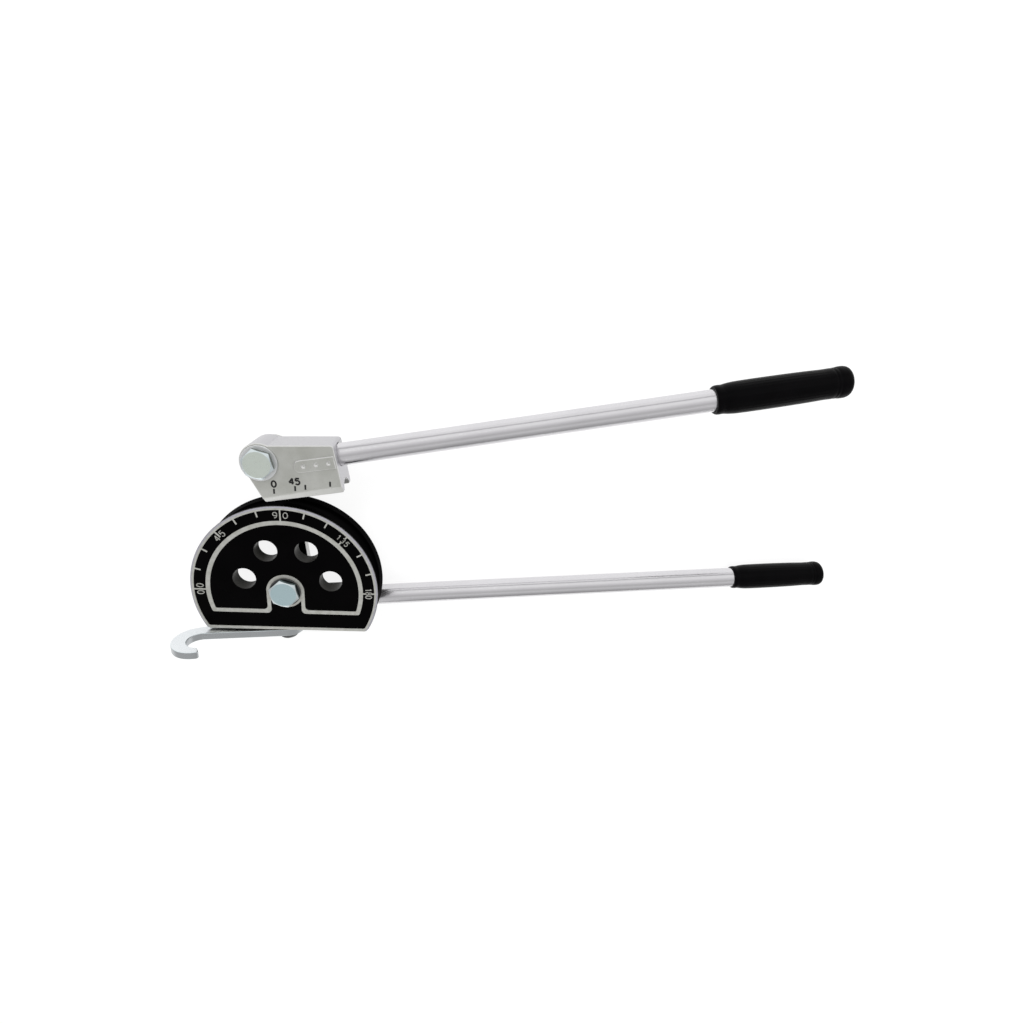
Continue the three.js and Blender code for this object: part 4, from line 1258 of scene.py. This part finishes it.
def dished_washer():
    low, crown = spring_washer_top, spring_washer_top + SPRING_WASHER_RISE
    return turned([
        (screw_hole, crown), (HOOK_WASHER_RADIUS, low), (HOOK_WASHER_RADIUS, low + SPRING_WASHER_THICKNESS),
        (screw_hole, crown + SPRING_WASHER_THICKNESS), (screw_hole, crown)])


def hook_sleeve():
    return ring(screw_hole, screw_hole + HOOK_SLEEVE_WALL, hook_top, hook_top + HOOK_THICKNESS)


def hook_washer():
    return ring(screw_hole, HOOK_WASHER_RADIUS, hook_washer_floor, hook_washer_top, WASHER_EDGE)


finish_part("tube_hook", hook_plate(), hook_plate_place, hook_zinc)
finish_part("hook_sleeve", hook_sleeve(), hook_plate_place, bronze)
finish_part("hook_screw", hook_screw(), hook_place, dark_zinc_and_shade, sharp=HEX_SHARP_ANGLE)
finish_part("hook_washer", hook_washer(), hook_place, washer_zinc)
finish_part("hook_spring_washer", dished_washer(), hook_place, spring_steel)


# Floor, world and lamps. The bands are how bright the room is, from beyond the wheel's flat edge, over the
# top, to beyond its round side.
FLOOR_SIZE = 12
FLOOR_COLOUR = (0.8, 0.8, 0.8, 1)
FLOOR_GLOW = 1.15
FLOOR_GLOW_SHARE = 0.75
ROOM_BANDS = ((0, 0.25), (0.067, 0.4), (0.179, 0.6), (0.25, 0.71), (0.34, 0.55), (0.42, 0.52), (0.55, 0.7),
              (0.655, 0.82), (0.735, 1), (0.888, 1), (0.918, 0.2), (0.95, 1), (1, 1))
ROOM_SOFT_LIGHT = 0.55
PANEL_FADE_ACROSS = (-0.18, -0.04)
PANEL_FADE_ALONG = (0.1, 0.17)
LAMP_TARGET = (0.2, 0.05, 0.03)
LAMPS = (("key", (-0.5, 1.3, 1.5), (1.2, 0.8), 22), ("fill", (1.5, -0.2, 1), (1, 1), 14))


def seen_share(tree):
    """1 for rays that a viewer, a mirror or glass sends, and 0 for light on its way."""
    path = add(tree, "ShaderNodeLightPath")
    seen = math_node(tree, "MAXIMUM", path.outputs["Is Camera Ray"], path.outputs["Is Glossy Ray"])
    return math_node(tree, "MAXIMUM", seen, path.outputs["Is Transmission Ray"])


def make_floor():
    bpy.ops.mesh.primitive_plane_add(size=FLOOR_SIZE)
    floor = bpy.context.object
    floor.name = "floor"
    material, tree, shader = node_tree("floor", {"Base Color": FLOOR_COLOUR, "Roughness": 1, SPECULAR: 0})
    glow = add(tree, "ShaderNodeEmission", Strength=FLOOR_GLOW)
    share = math_node(tree, "MULTIPLY", seen_share(tree), FLOOR_GLOW_SHARE)
    mix = add(tree, "ShaderNodeMixShader", Fac=share)
    tree.links.new(shader.outputs["BSDF"], mix.inputs[1])
    tree.links.new(glow.outputs["Emission"], mix.inputs[2])
    tree.links.new(mix.outputs["Shader"], tree.nodes["Material Output"].inputs["Surface"])
    floor.data.materials.append(material)


def room_light(tree):
    """How bright the room is in a direction: the bands, and a panel low beyond the flat edge."""
    side = ramp(tree, coordinate(tree, "Generated", "Y"), 0, 1, -1, 1)
    bands = add(tree, "ShaderNodeValToRGB")
    stops = bands.color_ramp.elements
    while len(stops) < len(ROOM_BANDS):
        stops.new(0.5)
    for stop, (at, light) in zip(stops, ROOM_BANDS):
        stop.position = at
        stop.color = (light, light, light, 1)
    tree.links.new(side, bands.inputs["Fac"])
    left = ramp(tree, coordinate(tree, "Generated", "X"), 1, 0, *PANEL_FADE_ACROSS)
    panel = math_node(tree, "MULTIPLY", left, ramp(tree, side, 1, 0, *PANEL_FADE_ALONG))
    return math_node(tree, "ADD", bands.outputs["Color"], panel)


def make_world():
    """A pale room as mirrors see it, plain white for the viewer, and even soft light for the rest."""
    world = bpy.data.worlds.new("room")
    bpy.context.scene.world = world
    world.use_nodes = True
    tree = world.node_tree
    background = tree.nodes["Background"]
    background.inputs["Color"].default_value = (1, 1, 1, 1)
    path = add(tree, "ShaderNodeLightPath")
    clear = math_node(tree, "MAXIMUM", path.outputs["Is Camera Ray"], path.outputs["Is Transmission Ray"])
    glossy = math_node(tree, "MULTIPLY", path.outputs["Is Glossy Ray"], room_light(tree))
    unseen = math_node(tree, "SUBTRACT", 1, seen_share(tree))
    soft = math_node(tree, "MULTIPLY", unseen, ROOM_SOFT_LIGHT)
    total = math_node(tree, "ADD", math_node(tree, "ADD", clear, glossy), soft)
    tree.links.new(total, background.inputs["Strength"])


def make_lamp(name, place, size, power):
    data = bpy.data.lights.new(name, "AREA")
    data.shape = "RECTANGLE"
    data.size, data.size_y = size
    data.energy = power
    lamp = placed_object(name, data)
    lamp.location = place
    lamp.visible_glossy = False
    lamp.rotation_mode = "QUATERNION"
    lamp.rotation_quaternion = (Vector(LAMP_TARGET) - Vector(place)).to_track_quat("-Z", "Y")


make_floor()
make_world()
for lamp in LAMPS:
    make_lamp(*lamp)

bpy.context.scene.view_settings.view_transform = "Standard"
